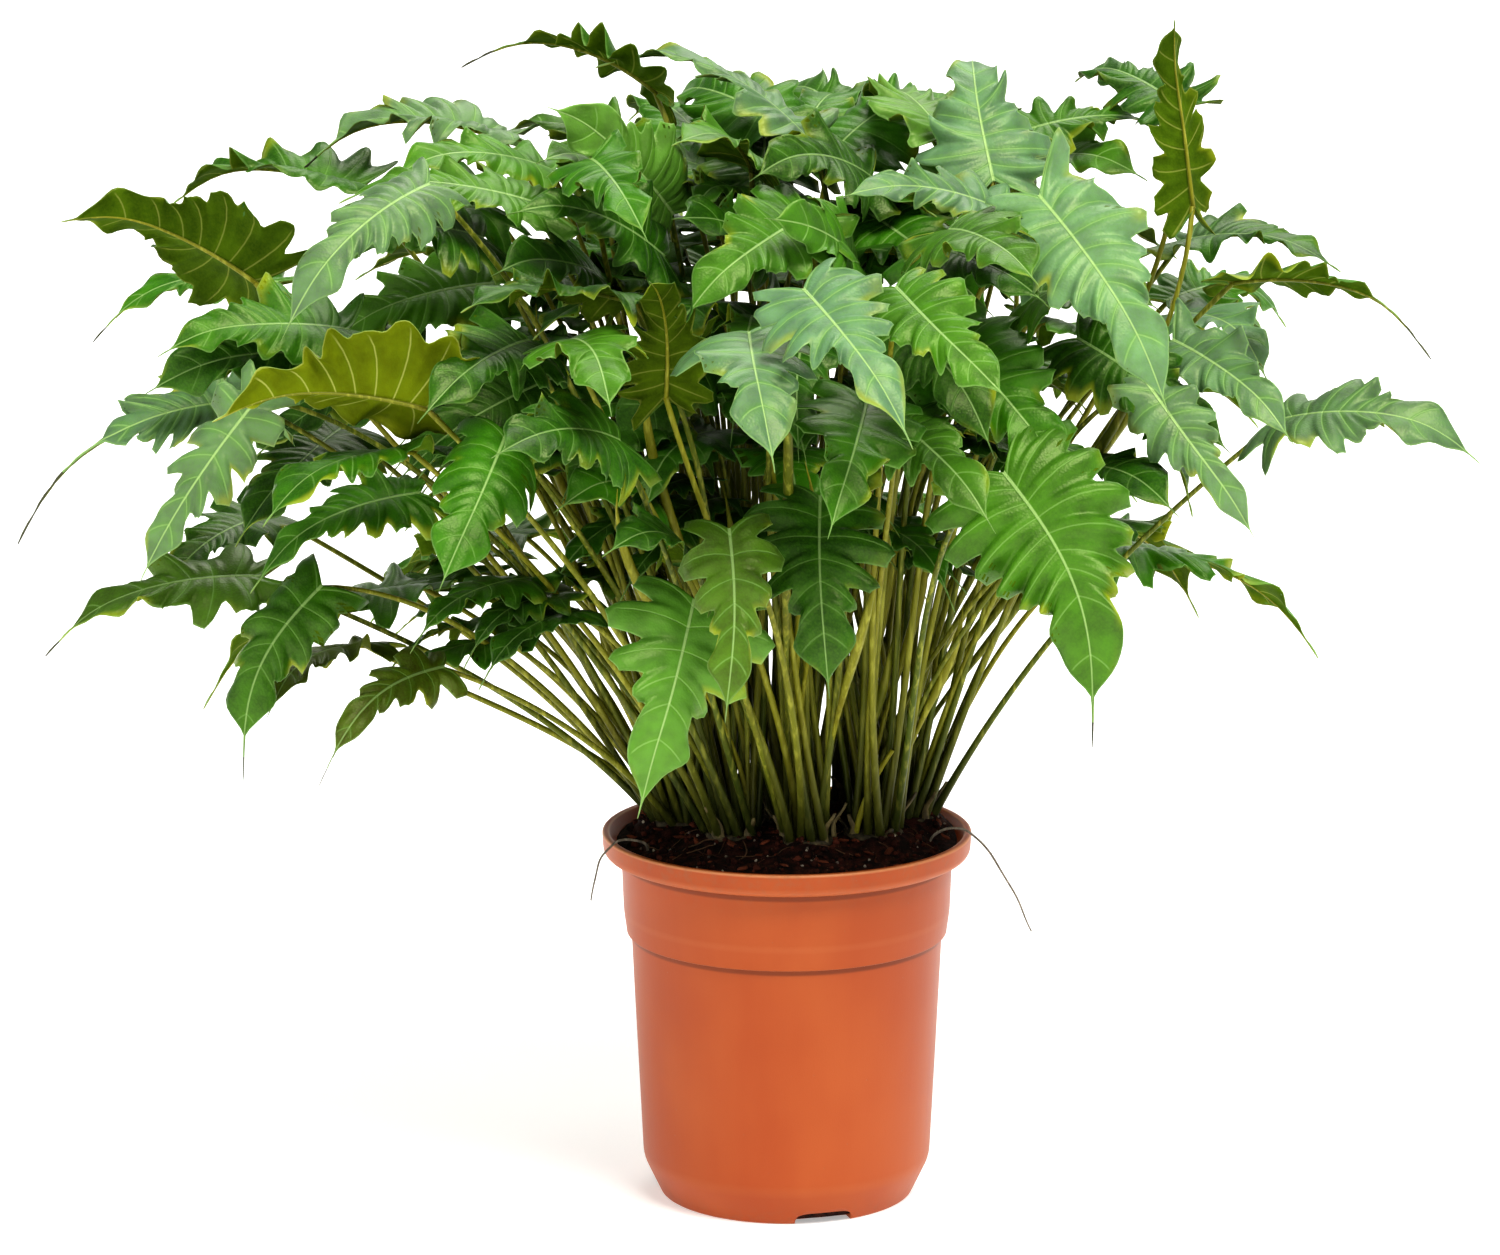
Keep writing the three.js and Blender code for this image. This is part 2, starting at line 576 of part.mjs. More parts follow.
function stalkPath(frame, [x, y]) {
  const root = new THREE.Vector3(x + frame.spot.x, y + frame.spot.y, CROWN.stalkHeight);
  const hold = STALK.hold * root.distanceTo(frame.base);
  const straight = frame.base.clone().sub(root).normalize();
  const leave = straight.clone().addScaledVector(UP, STALK.rise).normalize();
  const arrive = straight.clone().addScaledVector(frame.axis, STALK.bend);
  arrive.addScaledVector(frame.facing, STALK.under).normalize();
  return new THREE.CubicBezierCurve3(
    frame.base.clone().addScaledVector(frame.facing, -STALK.radius),
    frame.base.clone().addScaledVector(arrive, -hold),
    root.clone().addScaledVector(leave, hold),
    root,
  );
}

function addStalk(shape, frame, place, corners) {
  const open = corners.map((i) => shape.points[i]);
  const mouth = STALK.mouth.map(([atRoot, atNext, atLobe]) => new THREE.Vector3()
    .addScaledVector(open[0], atRoot)
    .addScaledVector(open[1], atNext)
    .addScaledVector(open[2], atLobe));
  let ring = mouth.map((point, i) => shape.points.length + i);
  shape.points.push(...mouth);
  joinRings(shape, corners, ring);
  const path = stalkPath(frame, place);
  const first = mouth[0].clone().multiplyScalar(2).sub(mouth[1]).sub(mouth[2]);
  for (let step = 1; step <= STALK.steps; step += 1) {
    const part = step / STALK.steps;
    const along = path.getTangent(part);
    const centre = path.getPoint(part);
    first.addScaledVector(along, -first.dot(along)).normalize();
    const second = along.clone().cross(first);
    const next = [0, 1, 2].map((i) => shape.points.length + i);
    for (const i of [0, 1, 2]) {
      const angle = (i * 2 * Math.PI) / 3;
      const point = centre.clone().addScaledVector(first, STALK.radius * Math.cos(angle));
      shape.points.push(point.addScaledVector(second, STALK.radius * Math.sin(angle)));
    }
    joinRings(shape, ring, next);
    ring = next;
  }
  shape.index.push(...ring);
}

function joinRings(shape, outer, inner) {
  outer.forEach((a, i) => {
    const j = (i + 1) % outer.length;
    shape.index.push(a, outer[j], inner[j], a, inner[j], inner[i]);
  });
}

function growLeaf(leaf, place) {
  const frame = leafFrame(leaf);
  const shape = { points: [], index: [] };
  const corners = addBlade(shape, leaf, frame);
  addStalk(shape, frame, place, corners);
  const geometry = new THREE.BufferGeometry().setFromPoints(shape.points);
  geometry.setIndex(shape.index);
  return toSolid(geometry);
}

function tierCrown(leaf) {
  const angle = THREE.MathUtils.radToDeg(Math.atan2(leaf.base.y, leaf.base.x));
  return TIER_CROWNS.find(([, end]) => angle < end)[0];
}

// Stalks stand apart on a crown: the farthest-reaching first takes the free spot most on its way
function spaceStalks(leaves, [x, y]) {
  const spots = leaves.map((leaf, i) => {
    const radius = CROWN.ring * Math.sqrt((i + 0.5) / leaves.length);
    return new THREE.Vector2(radius, 0).rotateAround(new THREE.Vector2(), i * GOLDEN_ANGLE);
  });
  const away = (leaf) => new THREE.Vector2(leaf.base.x - x, leaf.base.y - y);
  const farthestFirst = [...leaves].sort((a, b) => away(b).length() - away(a).length());
  for (const leaf of farthestFirst) {
    const way = away(leaf).normalize();
    spots.sort((a, b) => b.dot(way) - a.dot(way));
    leaf.spot = spots.shift();
  }
}

function allLeaves() {
  const leaves = {};
  for (const [side, rows] of Object.entries(LEAVES)) leaves[side] = rows.map(frontLeaf);
  for (const leaf of TIERS.flatMap(tierLeaves)) leaves[tierCrown(leaf)].push(leaf);
  for (const [side, crown] of Object.entries(leaves)) spaceStalks(crown, CROWN_PLACES[side]);
  return leaves;
}

function growCrown(leaves, place) {
  let crown = crownStem(place);
  for (const leaf of leaves) crown = crown.add(growLeaf(leaf, place));
  return crown;
}

// Whole plant

const plant = new THREE.Group();
plant.add(piece('pot', makePot(), COLOURS.pot, 0.45));
const holes = [...Object.values(CROWN_PLACES).map(crownHole), ...Object.values(ROOT_PATHS).map(rootHole)];
plant.add(piece('peat', makePeat(holes), COLOURS.peat, 0.95));
for (const [side, route] of Object.entries(ROOT_PATHS)) {
  plant.add(piece(`root_${side}`, rootStrand(route), COLOURS.root, 0.8));
}
for (const [side, leaves] of Object.entries(allLeaves())) {
  plant.add(piece(`crown_${side}`, growCrown(leaves, CROWN_PLACES[side]), COLOURS.foliage, 0.5));
}

export default plant;
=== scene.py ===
"""Split-leaf philodendron in a terracotta-coloured nursery pot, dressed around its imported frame.

Metres, +Z up and -Y towards the viewer, with the origin under the middle of the pot. Each crown
grows the same leaves as its solid, from rows that differ a little here and there, with finer
lobes, veins and rims. The pot, the peat and the loose roots are finer forms of their solids too.
"""

import logging
import math
from dataclasses import dataclass, field
from enum import Enum, IntEnum

import bpy
import numpy as np
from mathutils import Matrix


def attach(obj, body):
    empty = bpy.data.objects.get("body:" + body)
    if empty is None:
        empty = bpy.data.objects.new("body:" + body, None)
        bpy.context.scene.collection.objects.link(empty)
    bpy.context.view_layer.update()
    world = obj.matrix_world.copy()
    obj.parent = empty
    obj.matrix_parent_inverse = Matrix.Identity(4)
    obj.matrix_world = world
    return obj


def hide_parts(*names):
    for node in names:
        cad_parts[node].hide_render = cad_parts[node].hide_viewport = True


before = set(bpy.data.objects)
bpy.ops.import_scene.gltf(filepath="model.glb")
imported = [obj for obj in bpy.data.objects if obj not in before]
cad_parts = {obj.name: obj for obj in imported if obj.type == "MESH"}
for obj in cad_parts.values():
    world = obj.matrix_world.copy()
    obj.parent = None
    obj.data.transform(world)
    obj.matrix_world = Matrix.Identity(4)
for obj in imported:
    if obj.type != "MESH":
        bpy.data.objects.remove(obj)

Array = np.ndarray
Colour = tuple[float, float, float]
Point = tuple[float, float, float]
Span = tuple[float, float]
Pair = tuple[Array, Array]
Piece = bpy.types.Object
Material = bpy.types.Material
Socket = bpy.types.NodeSocket

LOG = logging.getLogger("philodendron")
MM = 0.001
UP = np.array([0.0, 0.0, 1.0])
BACK = np.array([0.0, 1.0, 0.0])
GOLDEN = 0.618034
GOLDEN_ANGLE = 2 * math.pi * GOLDEN
NOISE_TURNS = (127.1, 311.7, 74.7)
NOISE_SPREAD = 43758.5453


class Tone(Enum):
    """Leaf colour, as linear red, green and blue of the middle of its blade."""

    DEEP = (0.007, 0.058, 0.003)
    RICH = (0.024, 0.13, 0.003)
    FRESH = (0.052, 0.17, 0.011)
    # Painted sheen: the blade's green lightened to blue-grey, for light reflected off the upper face.
    PALE_PAINTED_SHEEN = (0.14, 0.268, 0.145)
    # Painted sheen of reflected light, a little duller than the one above.
    SAGE = (0.12, 0.205, 0.11)
    MOSS = (0.055, 0.11, 0.008)
    LIME = (0.105, 0.25, 0.034)
    OLIVE = (0.008, 0.088, 0.004)
    BRONZE = (0.078, 0.08, 0.006)
    GOLDEN = (0.262, 0.34, 0.004)


class Slot(IntEnum):
    """Material slots of a crown's mesh, in order."""

    UPPER = 0
    LOWER = 1
    STALK = 2
    STEM = 3
    SHEATH = 4


# Numbers on arrays


def unit(vectors: Array) -> Array:
    """Vectors scaled to length one along their last axis, which holds x, y and z."""
    return vectors / np.linalg.norm(vectors, axis=-1, keepdims=True)


def dot(first: Array, second: Array) -> Array:
    """Dot product along the last axis, kept as an axis of one."""
    return (first * second).sum(axis=-1, keepdims=True)


def across(vectors: Array, axis: Array) -> Array:
    """The part of some vectors that is square to an axis, at length one."""
    return unit(vectors - axis * dot(vectors, axis))


def smooth(values: Array, low: float, high: float) -> Array:
    """Smooth step: 0 below low, 1 above high, 3x² - 2x³ of the way between them."""
    part = np.clip((values - low) / (high - low), 0, 1)
    return part * part * (3 - 2 * part)


def turned(radius: Array, height: Array | float, turn: Array) -> Array:
    """Points at each radius, height and angle about the upright, in the shape that these span."""
    return np.stack(np.broadcast_arrays(radius * np.cos(turn), radius * np.sin(turn), height), axis=-1)


def rotated(first: Array, second: Array, angle: Array) -> Pair:
    """Two coordinates, or two sides, turned by an angle from the first towards the second."""
    cosine, sine = np.cos(angle), np.sin(angle)
    return first * cosine - second * sine, first * sine + second * cosine


def circle(sides: int) -> Array:
    """Angles of that many points, evenly round a circle from +X."""
    return np.linspace(0, 2 * math.pi, sides, endpoint=False)


def value_noise(place: Array, pitch: float, seed: int) -> Array:
    """Smooth random relief over a plane.

    Each corner of a square grid of the given pitch has a random height, which is the fraction
    of a large multiple of a sine of its place. Between corners the heights are blended by a
    smooth step.

    Args:
        place: Points, whose last axis holds x and y.
        pitch: Side of a square, in metres.
        seed: Number that sets the draw.

    Returns:
        Heights from -1 to 1.
    """
    cell = np.floor(place / pitch)
    part = place / pitch - cell
    part = part * part * (3 - 2 * part)

    def corner(step_x: int, step_y: int) -> Array:
        """Random height of the corner that is so many steps from the cell's own, from -1 to 1."""
        terms = zip((cell[..., 0] + step_x, cell[..., 1] + step_y, seed), NOISE_TURNS)
        return 2 * (NOISE_SPREAD * np.sin(sum(term * turn for term, turn in terms)) % 1) - 1

    low = corner(0, 0) * (1 - part[..., 0]) + corner(1, 0) * part[..., 0]
    high = corner(0, 1) * (1 - part[..., 0]) + corner(1, 1) * part[..., 0]
    return low * (1 - part[..., 1]) + high * part[..., 1]


def cubic(points: Array, part: Array) -> Pair:
    """Cubic Bezier curve: its four points weighted by the Bernstein polynomials of the part.

    Args:
        points: Four points, as rows.
        part: Parts of the curve, from 0 to 1.

    Returns:
        Points on the curve and its directions at length one.
    """
    s = part[:, None]
    start, leave, arrive, end = points
    place = (1 - s) ** 3 * start + 3 * s * (1 - s) ** 2 * leave + 3 * s**2 * (1 - s) * arrive + s**3 * end
    way = (1 - s) ** 2 * (leave - start) + 2 * s * (1 - s) * (arrive - leave) + s**2 * (end - arrive)
    return place, unit(way)


def spline(points: Array, steps: int) -> Pair:
    """Smooth curve through points, by the Catmull-Rom cubic between each pair of them.

    Args:
        points: Points to pass, as rows.
        steps: How many points the curve gets.

    Returns:
        Points on the curve and its directions at length one.
    """
    padded = np.vstack([2 * points[0] - points[1], points, 2 * points[-1] - points[-2]])
    run = np.linspace(0, len(points) - 1 - 1e-9, steps)
    first = run.astype(int)
    s = (run - first)[:, None]
    a, b, c, d = (padded[first + i] for i in range(4))
    squared, cubed = 2 * a - 5 * b + 4 * c - d, 3 * b - a - 3 * c + d
    place = 0.5 * (2 * b + (c - a) * s + squared * s**2 + cubed * s**3)
    return place, unit(np.gradient(place, axis=0))


def carried(start: Array, directions: Array) -> Array:
    """Side vectors along a path, each turned from the first by the least turn between directions.

    For directions t0 and t, the side n0 becomes n0 - (t0 + t)(n0·t) / (1 + t0·t).

    Args:
        start: Side vector at the path's first point.
        directions: Directions along the path, at length one.

    Returns:
        One side vector a direction, square to it.
    """
    first = directions[:1]
    start = across(start[None], first)
    turn = dot(start, directions) / np.maximum(1 + dot(first, directions), 0.05)
    return across(start - (first + directions) * turn, directions)


# Meshes


def grid_quads(index: Array) -> Array:
    """The corners of each face of a grid of point indices, by row and column."""
    return np.stack([index[:-1, :-1], index[:-1, 1:], index[1:, 1:], index[1:, :-1]], axis=-1)


@dataclass
class Form:
    """One mesh in the making: points with their surface values, and faces with their slots.

    A sheet or tube is added as whole arrays. The surface values are vectors that the finishes
    read. tone is the colour drawn for a leaf or crumb, and lines holds a blade's distances to the
    nearest side vein, midrib and margin in metres. place holds three numbers: on a blade the
    place counted in lobes, the part of the way from midrib to margin and the part of the length,
    on a stalk its height and yellowness, and on the pot its height, edge wear with a painted
    highlight at the rim, and dust.
    """

    points: list[Array] = field(default_factory=list)
    quads: list[Array] = field(default_factory=list)
    slots: list[Array] = field(default_factory=list)
    flats: list[Array] = field(default_factory=list)
    values: dict[str, list[Array]] = field(default_factory=lambda: {"tone": [], "lines": [], "place": []})
    count: int = 0

    def add_points(self, points: Array, **values: Array) -> Array:
        """Adds points.

        Args:
            points: Places, with x, y and z on the last axis.
            values: Surface values by name, of the points' shape or one vector for all.

        Returns:
            Their indices, in the points' own rows and columns.
        """
        rows = points.reshape(-1, 3)
        self.points.append(rows)
        for name, kept in self.values.items():
            value = np.asarray(values.get(name, np.zeros(3)), dtype=float)
            kept.append(np.broadcast_to(value.reshape(-1, 3) if value.ndim > 1 else value, rows.shape))
        index = self.count + np.arange(len(rows)).reshape(points.shape[:-1])
        self.count += len(rows)
        return index

    def add_quads(self, quads: Array, slot: int = 0, flat: bool = False) -> None:
        """Adds four-cornered faces, where a corner named twice makes a triangle.

        Args:
            quads: Rows of four point indices.
            slot: Material slot.
            flat: Whether the faces are shaded flat, so that their edges stay sharp.
        """
        rows = quads.reshape(-1, 4)
        self.quads.append(rows)
        self.slots.append(np.full(len(rows), slot))
        self.flats.append(np.full(len(rows), flat))

    def add_grid(self, index: Array, slot: int = 0, closed: bool = False) -> None:
        """Adds the faces of a grid of point indices.

        Args:
            index: Indices by row and column.
            slot: Material slot.
            closed: Whether the last column joins the first.
        """
        if closed:
            index = np.hstack([index, index[:, :1]])
        self.add_quads(grid_quads(index), slot)

    def add_cap(self, ring: Array, middle: int, slot: int = 0) -> None:
        """Closes a ring of indices with triangles to a middle point."""
        centre = np.full_like(ring, middle)
        self.add_quads(np.stack([ring, np.roll(ring, -1), centre, centre], axis=-1), slot)

    def add_sheet(self, top: Array, bottom: Array, slots: tuple[int, int], **values: Array) -> None:
        """Adds a thin closed sheet: an upper and a lower grid, joined by a strip round their rim.

        Args:
            top: Upper places by row and column.
            bottom: Lower places, of the same shape.
            slots: Material slots of the upper and lower side.
            values: Surface values by name, for either grid.
        """
        upper = self.add_points(top, **values)
        lower = self.add_points(bottom, **values)
        self.add_grid(upper, slots[0])
        self.add_grid(lower[:, ::-1], slots[1])
        rim = [np.concatenate([g[0, :-1], g[:-1, -1], g[-1, :0:-1], g[:0:-1, 0]]) for g in (upper, lower)]
        after = [np.roll(line, -1) for line in rim]
        self.add_quads(np.stack([rim[0], rim[1], after[1], after[0]], axis=-1), slots[0], flat=True)

    def add_body(self, rings: Array, ends: Array, slot: int = 0, **values: Array) -> None:
        """Adds a closed body: a skin of rings, with a fan from each end ring to its middle.

        Args:
            rings: Places by ring and side, turning right-handed about the way from first to last.
            ends: The middle points of the first and the last ring.
            slot: Material slot.
            values: Surface values by name, one vector a ring.
        """
        sides = rings.shape[1]
        spread = {name: np.repeat(value[:, None], sides, axis=1) for name, value in values.items()}
        index = self.add_points(rings, **spread)
        first, last = self.add_points(ends, **{name: value[[0, -1]] for name, value in values.items()})
        self.add_grid(index, slot, closed=True)
        self.add_cap(index[0, ::-1], first, slot)
        self.add_cap(index[-1], last, slot)

    def add_tube(
        self, path: Pair, side: Array, radii: Array, sides: int, slot: int = 0, **values: Array
    ) -> None:
        """Adds a closed tube: circles round a path, with a fan at each end.

        Args:
            path: Middle of each ring, and the direction there.
            side: Direction from each middle to its ring's first point, or that of the first
                ring alone, which is carried on along the path.
            radii: Radius of each ring, or of each ring and side.
            sides: Points of a ring.
            slot: Material slot.
            values: Surface values by name, one vector a ring.
        """
        centres, directions = path
        if side.ndim == 1:
            side = carried(side, directions)
        other = np.cross(directions, side)
        angle = circle(sides)[None, :, None]
        spread = np.cos(angle) * side[:, None] + np.sin(angle) * other[:, None]
        width = radii[:, None] if radii.ndim == 1 else radii
        rings = centres[:, None] + spread * width[..., None]
        self.add_body(rings, centres[[0, -1]], slot, **values)

    def build(self, name: str, materials: list[Material]) -> Piece:
        """Makes the object of all that was added.

        Args:
            name: Its name.
            materials: Materials in the order of the slots.

        Returns:
            The object, at the origin and linked to the scene.
        """
        quads = np.concatenate(self.quads)
        keep = np.ones(quads.shape, dtype=bool)
        keep[:, 1:] = quads[:, 1:] != quads[:, :-1]
        keep[:, 3] &= quads[:, 3] != quads[:, 0]
        sizes = keep.sum(axis=1)
        corners = quads[keep]
        mesh = bpy.data.meshes.new(name)
        mesh.vertices.add(self.count)
        mesh.vertices.foreach_set("co", np.concatenate(self.points).astype(np.float32).ravel())
        mesh.loops.add(len(corners))
        mesh.loops.foreach_set("vertex_index", corners.astype(np.int32))
        mesh.polygons.add(len(quads))
        mesh.polygons.foreach_set("loop_start", (np.cumsum(sizes) - sizes).astype(np.int32))
        mesh.polygons.foreach_set("material_index", np.concatenate(self.slots).astype(np.int32))
        mesh.polygons.foreach_set("use_smooth", ~np.concatenate(self.flats))
        for value_name, kept in self.values.items():
            attribute = mesh.attributes.new(value_name, "FLOAT_VECTOR", "POINT")
            attribute.data.foreach_set("vector", np.concatenate(kept).astype(np.float32).ravel())
        for material in materials:
            mesh.materials.append(material)
        mesh.update(calc_edges=True)
        mesh.validate()
        piece = bpy.data.objects.new(name, mesh)
        bpy.context.scene.collection.objects.link(piece)
        return piece


# Shader nodes


@dataclass(frozen=True)
class Value:
    """A socket whose number changes over a surface. Arithmetic on it adds Math nodes."""

    surface: "Surface"
    socket: Socket

    def math(self, operation: str, first: "Number", second: "Number" = 0.0) -> "Value":
        """A Math node of that operation on two numbers or values."""
        node = self.surface.node("ShaderNodeMath", {"operation": operation}, {0: first, 1: second})
        return Value(self.surface, node.outputs[0])

    def __add__(self, other: "Number") -> "Value":
        """Sum."""
        return self.math("ADD", self, other)

    def __radd__(self, other: "Number") -> "Value":
        """Sum, from the right."""
        return self.math("ADD", other, self)

    def __sub__(self, other: "Number") -> "Value":
        """Difference."""
        return self.math("SUBTRACT", self, other)

    def __rsub__(self, other: "Number") -> "Value":
        """Difference, from the right."""
        return self.math("SUBTRACT", other, self)

    def __mul__(self, other: "Number") -> "Value":
        """Product."""
        return self.math("MULTIPLY", self, other)

    def __rmul__(self, other: "Number") -> "Value":
        """Product, from the right."""
        return self.math("MULTIPLY", other, self)

    def sine(self) -> "Value":
        """Sine of the value in radians."""
        return self.math("SINE", self)

    def step(self, low: float, high: float) -> "Value":
        """Smooth step from one value to another, which rises or falls.

        Args:
            low: Where it is 0.
            high: Where it is 1.

        Returns:
            The step.
        """
        ends = (low, high, 0.0, 1.0) if low < high else (high, low, 1.0, 0.0)
        inputs = {"Value": self, **dict(zip(("From Min", "From Max", "To Min", "To Max"), ends))}
        node = self.surface.node("ShaderNodeMapRange", {"interpolation_type": "SMOOTHSTEP"}, inputs)
        return Value(self.surface, node.outputs["Result"])


Number = Value | float
Paint = Colour | Socket


class Surface:
    """One material: its node tree, and the few kinds of node that its finish is made of."""

    def __init__(self, name: str) -> None:
        """Starts a material with a Principled shader at its output.

        Args:
            name: Its name.
        """
        self.material = bpy.data.materials.new(name)
        self.material.use_nodes = True
        self.tree = self.material.node_tree
        self.tree.nodes.clear()
        self.shader = self.node("ShaderNodeBsdfPrincipled")
        self.node("ShaderNodeOutputMaterial", inputs={"Surface": self.shader.outputs[0]})
        self.coordinates = self.node("ShaderNodeTexCoord").outputs["Object"]

    def node(
        self,
        kind: str,
        settings: dict[str, object] | None = None,
        inputs: dict[str | int, object] | None = None,
    ) -> bpy.types.Node:
        """Adds a node, gives it its settings and then fills its sockets.

        Args:
            kind: The node's type.
            settings: Its properties by name, which are set first.
            inputs: Numbers, colours, Values or sockets by the name or number of the input.

        Returns:
            The node.
        """
        node = self.tree.nodes.new(kind)
        for name, setting in (settings or {}).items():
            setattr(node, name, setting)
        for key, value in (inputs or {}).items():
            self.fill(node.inputs[key], value)
        return node

    def fill(self, socket: Socket, value: object) -> None:
        """Links an input, or gives it a number or colour of its own.

        Args:
            socket: The input.
            value: A number, colour, Value or socket.
        """
        if isinstance(value, Value):
            value = value.socket
        if isinstance(value, Socket):
            self.tree.links.new(value, socket)
        else:
            socket.default_value = value

    def read(self, name: str) -> tuple[Value, Value, Value]:
        """Reads a surface value of the mesh.

        Args:
            name: Its name.

        Returns:
            Its three numbers.
        """
        vector = self.node("ShaderNodeAttribute", {"attribute_name": name}).outputs["Vector"]
        outputs = self.node("ShaderNodeSeparateXYZ", inputs={0: vector}).outputs
        return tuple(Value(self, socket) for socket in outputs)

    def tint(self, name: str) -> Socket:
        """A surface value of the mesh, read as a colour."""
        return self.node("ShaderNodeAttribute", {"attribute_name": name}).outputs["Color"]

    def noise(self, pitch: float, detail: float = 3.0, stretch: Point = (1.0, 1.0, 1.0)) -> Value:
        """Noise in the object's own coordinates, from 0 to 1.

        Args:
            pitch: Size of its features in metres.
            detail: Octaves.
            stretch: Scale along each axis, where less draws the features out.

        Returns:
            The noise.
        """
        mapping = self.node("ShaderNodeMapping", inputs={"Vector": self.coordinates, "Scale": stretch})
        inputs = {"Vector": mapping.outputs[0], "Scale": 1 / pitch, "Detail": detail}
        return Value(self, self.node("ShaderNodeTexNoise", inputs=inputs).outputs["Fac"])

    def cells(self, pitch: float) -> Value:
        """Distance to the nearest of scattered points, in parts of their pitch in metres."""
        node = self.node("ShaderNodeTexVoronoi", inputs={"Vector": self.coordinates, "Scale": 1 / pitch})
        return Value(self, node.outputs["Distance"])

    def mix(self, factor: Number, first: Paint, second: Paint, blend: str = "MIX") -> Socket:
        """Mixes two colours.

        Args:
            factor: Share of the second, a number or a Value.
            first: Colour or socket.
            second: Colour or socket.
            blend: How they mix.

        Returns:
            The mixed colour's socket.
        """
        colours = [(*c, 1.0) if isinstance(c, tuple) else c for c in (first, second)]
        settings = {"data_type": "RGBA", "blend_type": blend}
        node = self.node("ShaderNodeMix", settings, {0: factor, 6: colours[0], 7: colours[1]})
        return node.outputs[2]

    def bump(self, height: Value, depth: float, strength: float) -> Socket:
        """A normal from a height of 0 to 1 that stands for a depth in metres."""
        inputs = {"Height": height, "Distance": depth, "Strength": strength}
        return self.node("ShaderNodeBump", inputs=inputs).outputs[0]

    def close(self, **sockets: object) -> Material:
        """Fills the shader's sockets, whose names have spaces for underscores.

        Args:
            sockets: Values, colours or sockets by name.

        Returns:
            The finished material.
        """
        for name, value in sockets.items():
            self.fill(self.shader.inputs[name.replace("_", " ")], value)
        return self.material


# Finishes


@dataclass(frozen=True)
class BladeFinish:
    """Leathery blade: body colour drawn for the leaf, pale midrib, side veins and rim, and a
    painted glow of light through the blade, yellow-green towards the margin.

    The upper side is smoother and keeps its own colour, and the lower side is duller and turns
    towards olive, partly its own colour and partly a painted glow of light through the blade.
    """

    name: str = "leaf_upper"
    # Olive of the lower side: its own duller colour, and partly a painted glow of light through the blade.
    under: Colour = (0.095, 0.13, 0.003)
    under_share: float = 0.0
    bright: Colour = (0.1, 0.285, 0.008)
    light: Colour = (0.3, 0.52, 0.15)
    rib_light: Colour = (0.38, 0.58, 0.2)
    # Painted glow: yellow-green towards the margin, for light shining through the blade.
    painted_glow: Colour = (0.38, 0.42, 0.02)
    dry: Colour = (0.045, 0.046, 0.028)
    vein_share: float = 0.42
    rib_share: float = 0.8
    roughness: float = 0.33
    gloss: float = 0.5
    gloss_tint: Colour = (0.9, 1.0, 0.5)
    blotch_pitch: float = 0.016
    grain_pitch: float = 0.0022
    net_pitch: float = 0.0016
    painted_glow_pitch: float = 0.045
    vein_edge: Span = (0.00075, 0.0002)
    halo_edge: Span = (0.004, 0.0004)
    rim_edge: Span = (0.001, 0.0003)
    rib_edge: Span = (0.0004, -0.0003)
    rib_width: float = 0.00095
    rib_taper: float = 0.0007
    stripes: float = 44.0
    relief: float = 0.0011

    def build(self) -> Material:
        """Makes the material, with its lines where the distances to them fall past their edges.

        Returns:
            The material.
        """
        s = Surface(self.name)
        vein, rib, rim = s.read("lines")
        place, reach, along = s.read("place")
        pale = 0.4 + s.read("tone")[1].step(0.02, 0.3) * 0.6
        blotch = s.noise(self.blotch_pitch)
        fine = s.noise(self.grain_pitch, 2.0)
        net = s.cells(self.net_pitch)
        vein_line = vein.step(*self.vein_edge) * reach.step(0.97, 0.72)
        halo = vein.step(*self.halo_edge) * reach.step(1.0, 0.5)
        rib_width = self.rib_width - self.rib_taper * along
        rib_line = (rib - rib_width).step(*self.rib_edge)
        rim_line = rim.step(*self.rim_edge)
        stripes = (place * self.stripes).sine().step(0.35, 1.0)
        stripes = stripes * reach.step(0.02, 0.25) * reach.step(1.0, 0.8) * pale
        # The lower side turns olive: its own colour, and partly a painted glow of light through the blade.
        body = s.mix(self.under_share, s.tint("tone"), self.under)
        patches = blotch.step(0.3, 0.7)
        body = s.mix(patches, s.mix(0.35, body, (0.0, 0.0, 0.0)), s.mix(0.16, body, self.bright))
        body = s.mix(net.step(0.75, 0.35) * 0.1 + fine.step(0.35, 0.75) * 0.1, body, self.bright)
        body = s.mix(stripes * 0.06 + halo * pale * 0.26, body, self.bright)
        # Painted glow of light shining through the blade, yellow-green towards its margin.
        painted_glow = reach.step(0.7, 1.0) * s.noise(self.painted_glow_pitch, 1.0).step(0.52, 0.72)
        body = s.mix(painted_glow * 0.7, body, self.painted_glow)
        body = s.mix(vein_line * pale * self.vein_share, body, self.light)
        body = s.mix(rim_line * pale * 0.42, body, self.light)
        body = s.mix(rib_line * (0.35 + pale * 0.65) * self.rib_share, body, self.rib_light)
        body = s.mix(along.step(1.0, 1.01), body, self.dry)
        relief = blotch * 0.4 + net.step(0.2, 0.8) * 0.08 - vein_line * 0.25 - halo * 0.15 + rib_line * 0.5
        return s.close(
            Base_Color=body,
            Roughness=self.roughness + blotch * 0.12 + vein_line * 0.12 + fine * 0.06,
            Specular_IOR_Level=self.gloss,
            Specular_Tint=(*self.gloss_tint, 1.0),
            Normal=s.bump(relief, self.relief, 0.8),
        )


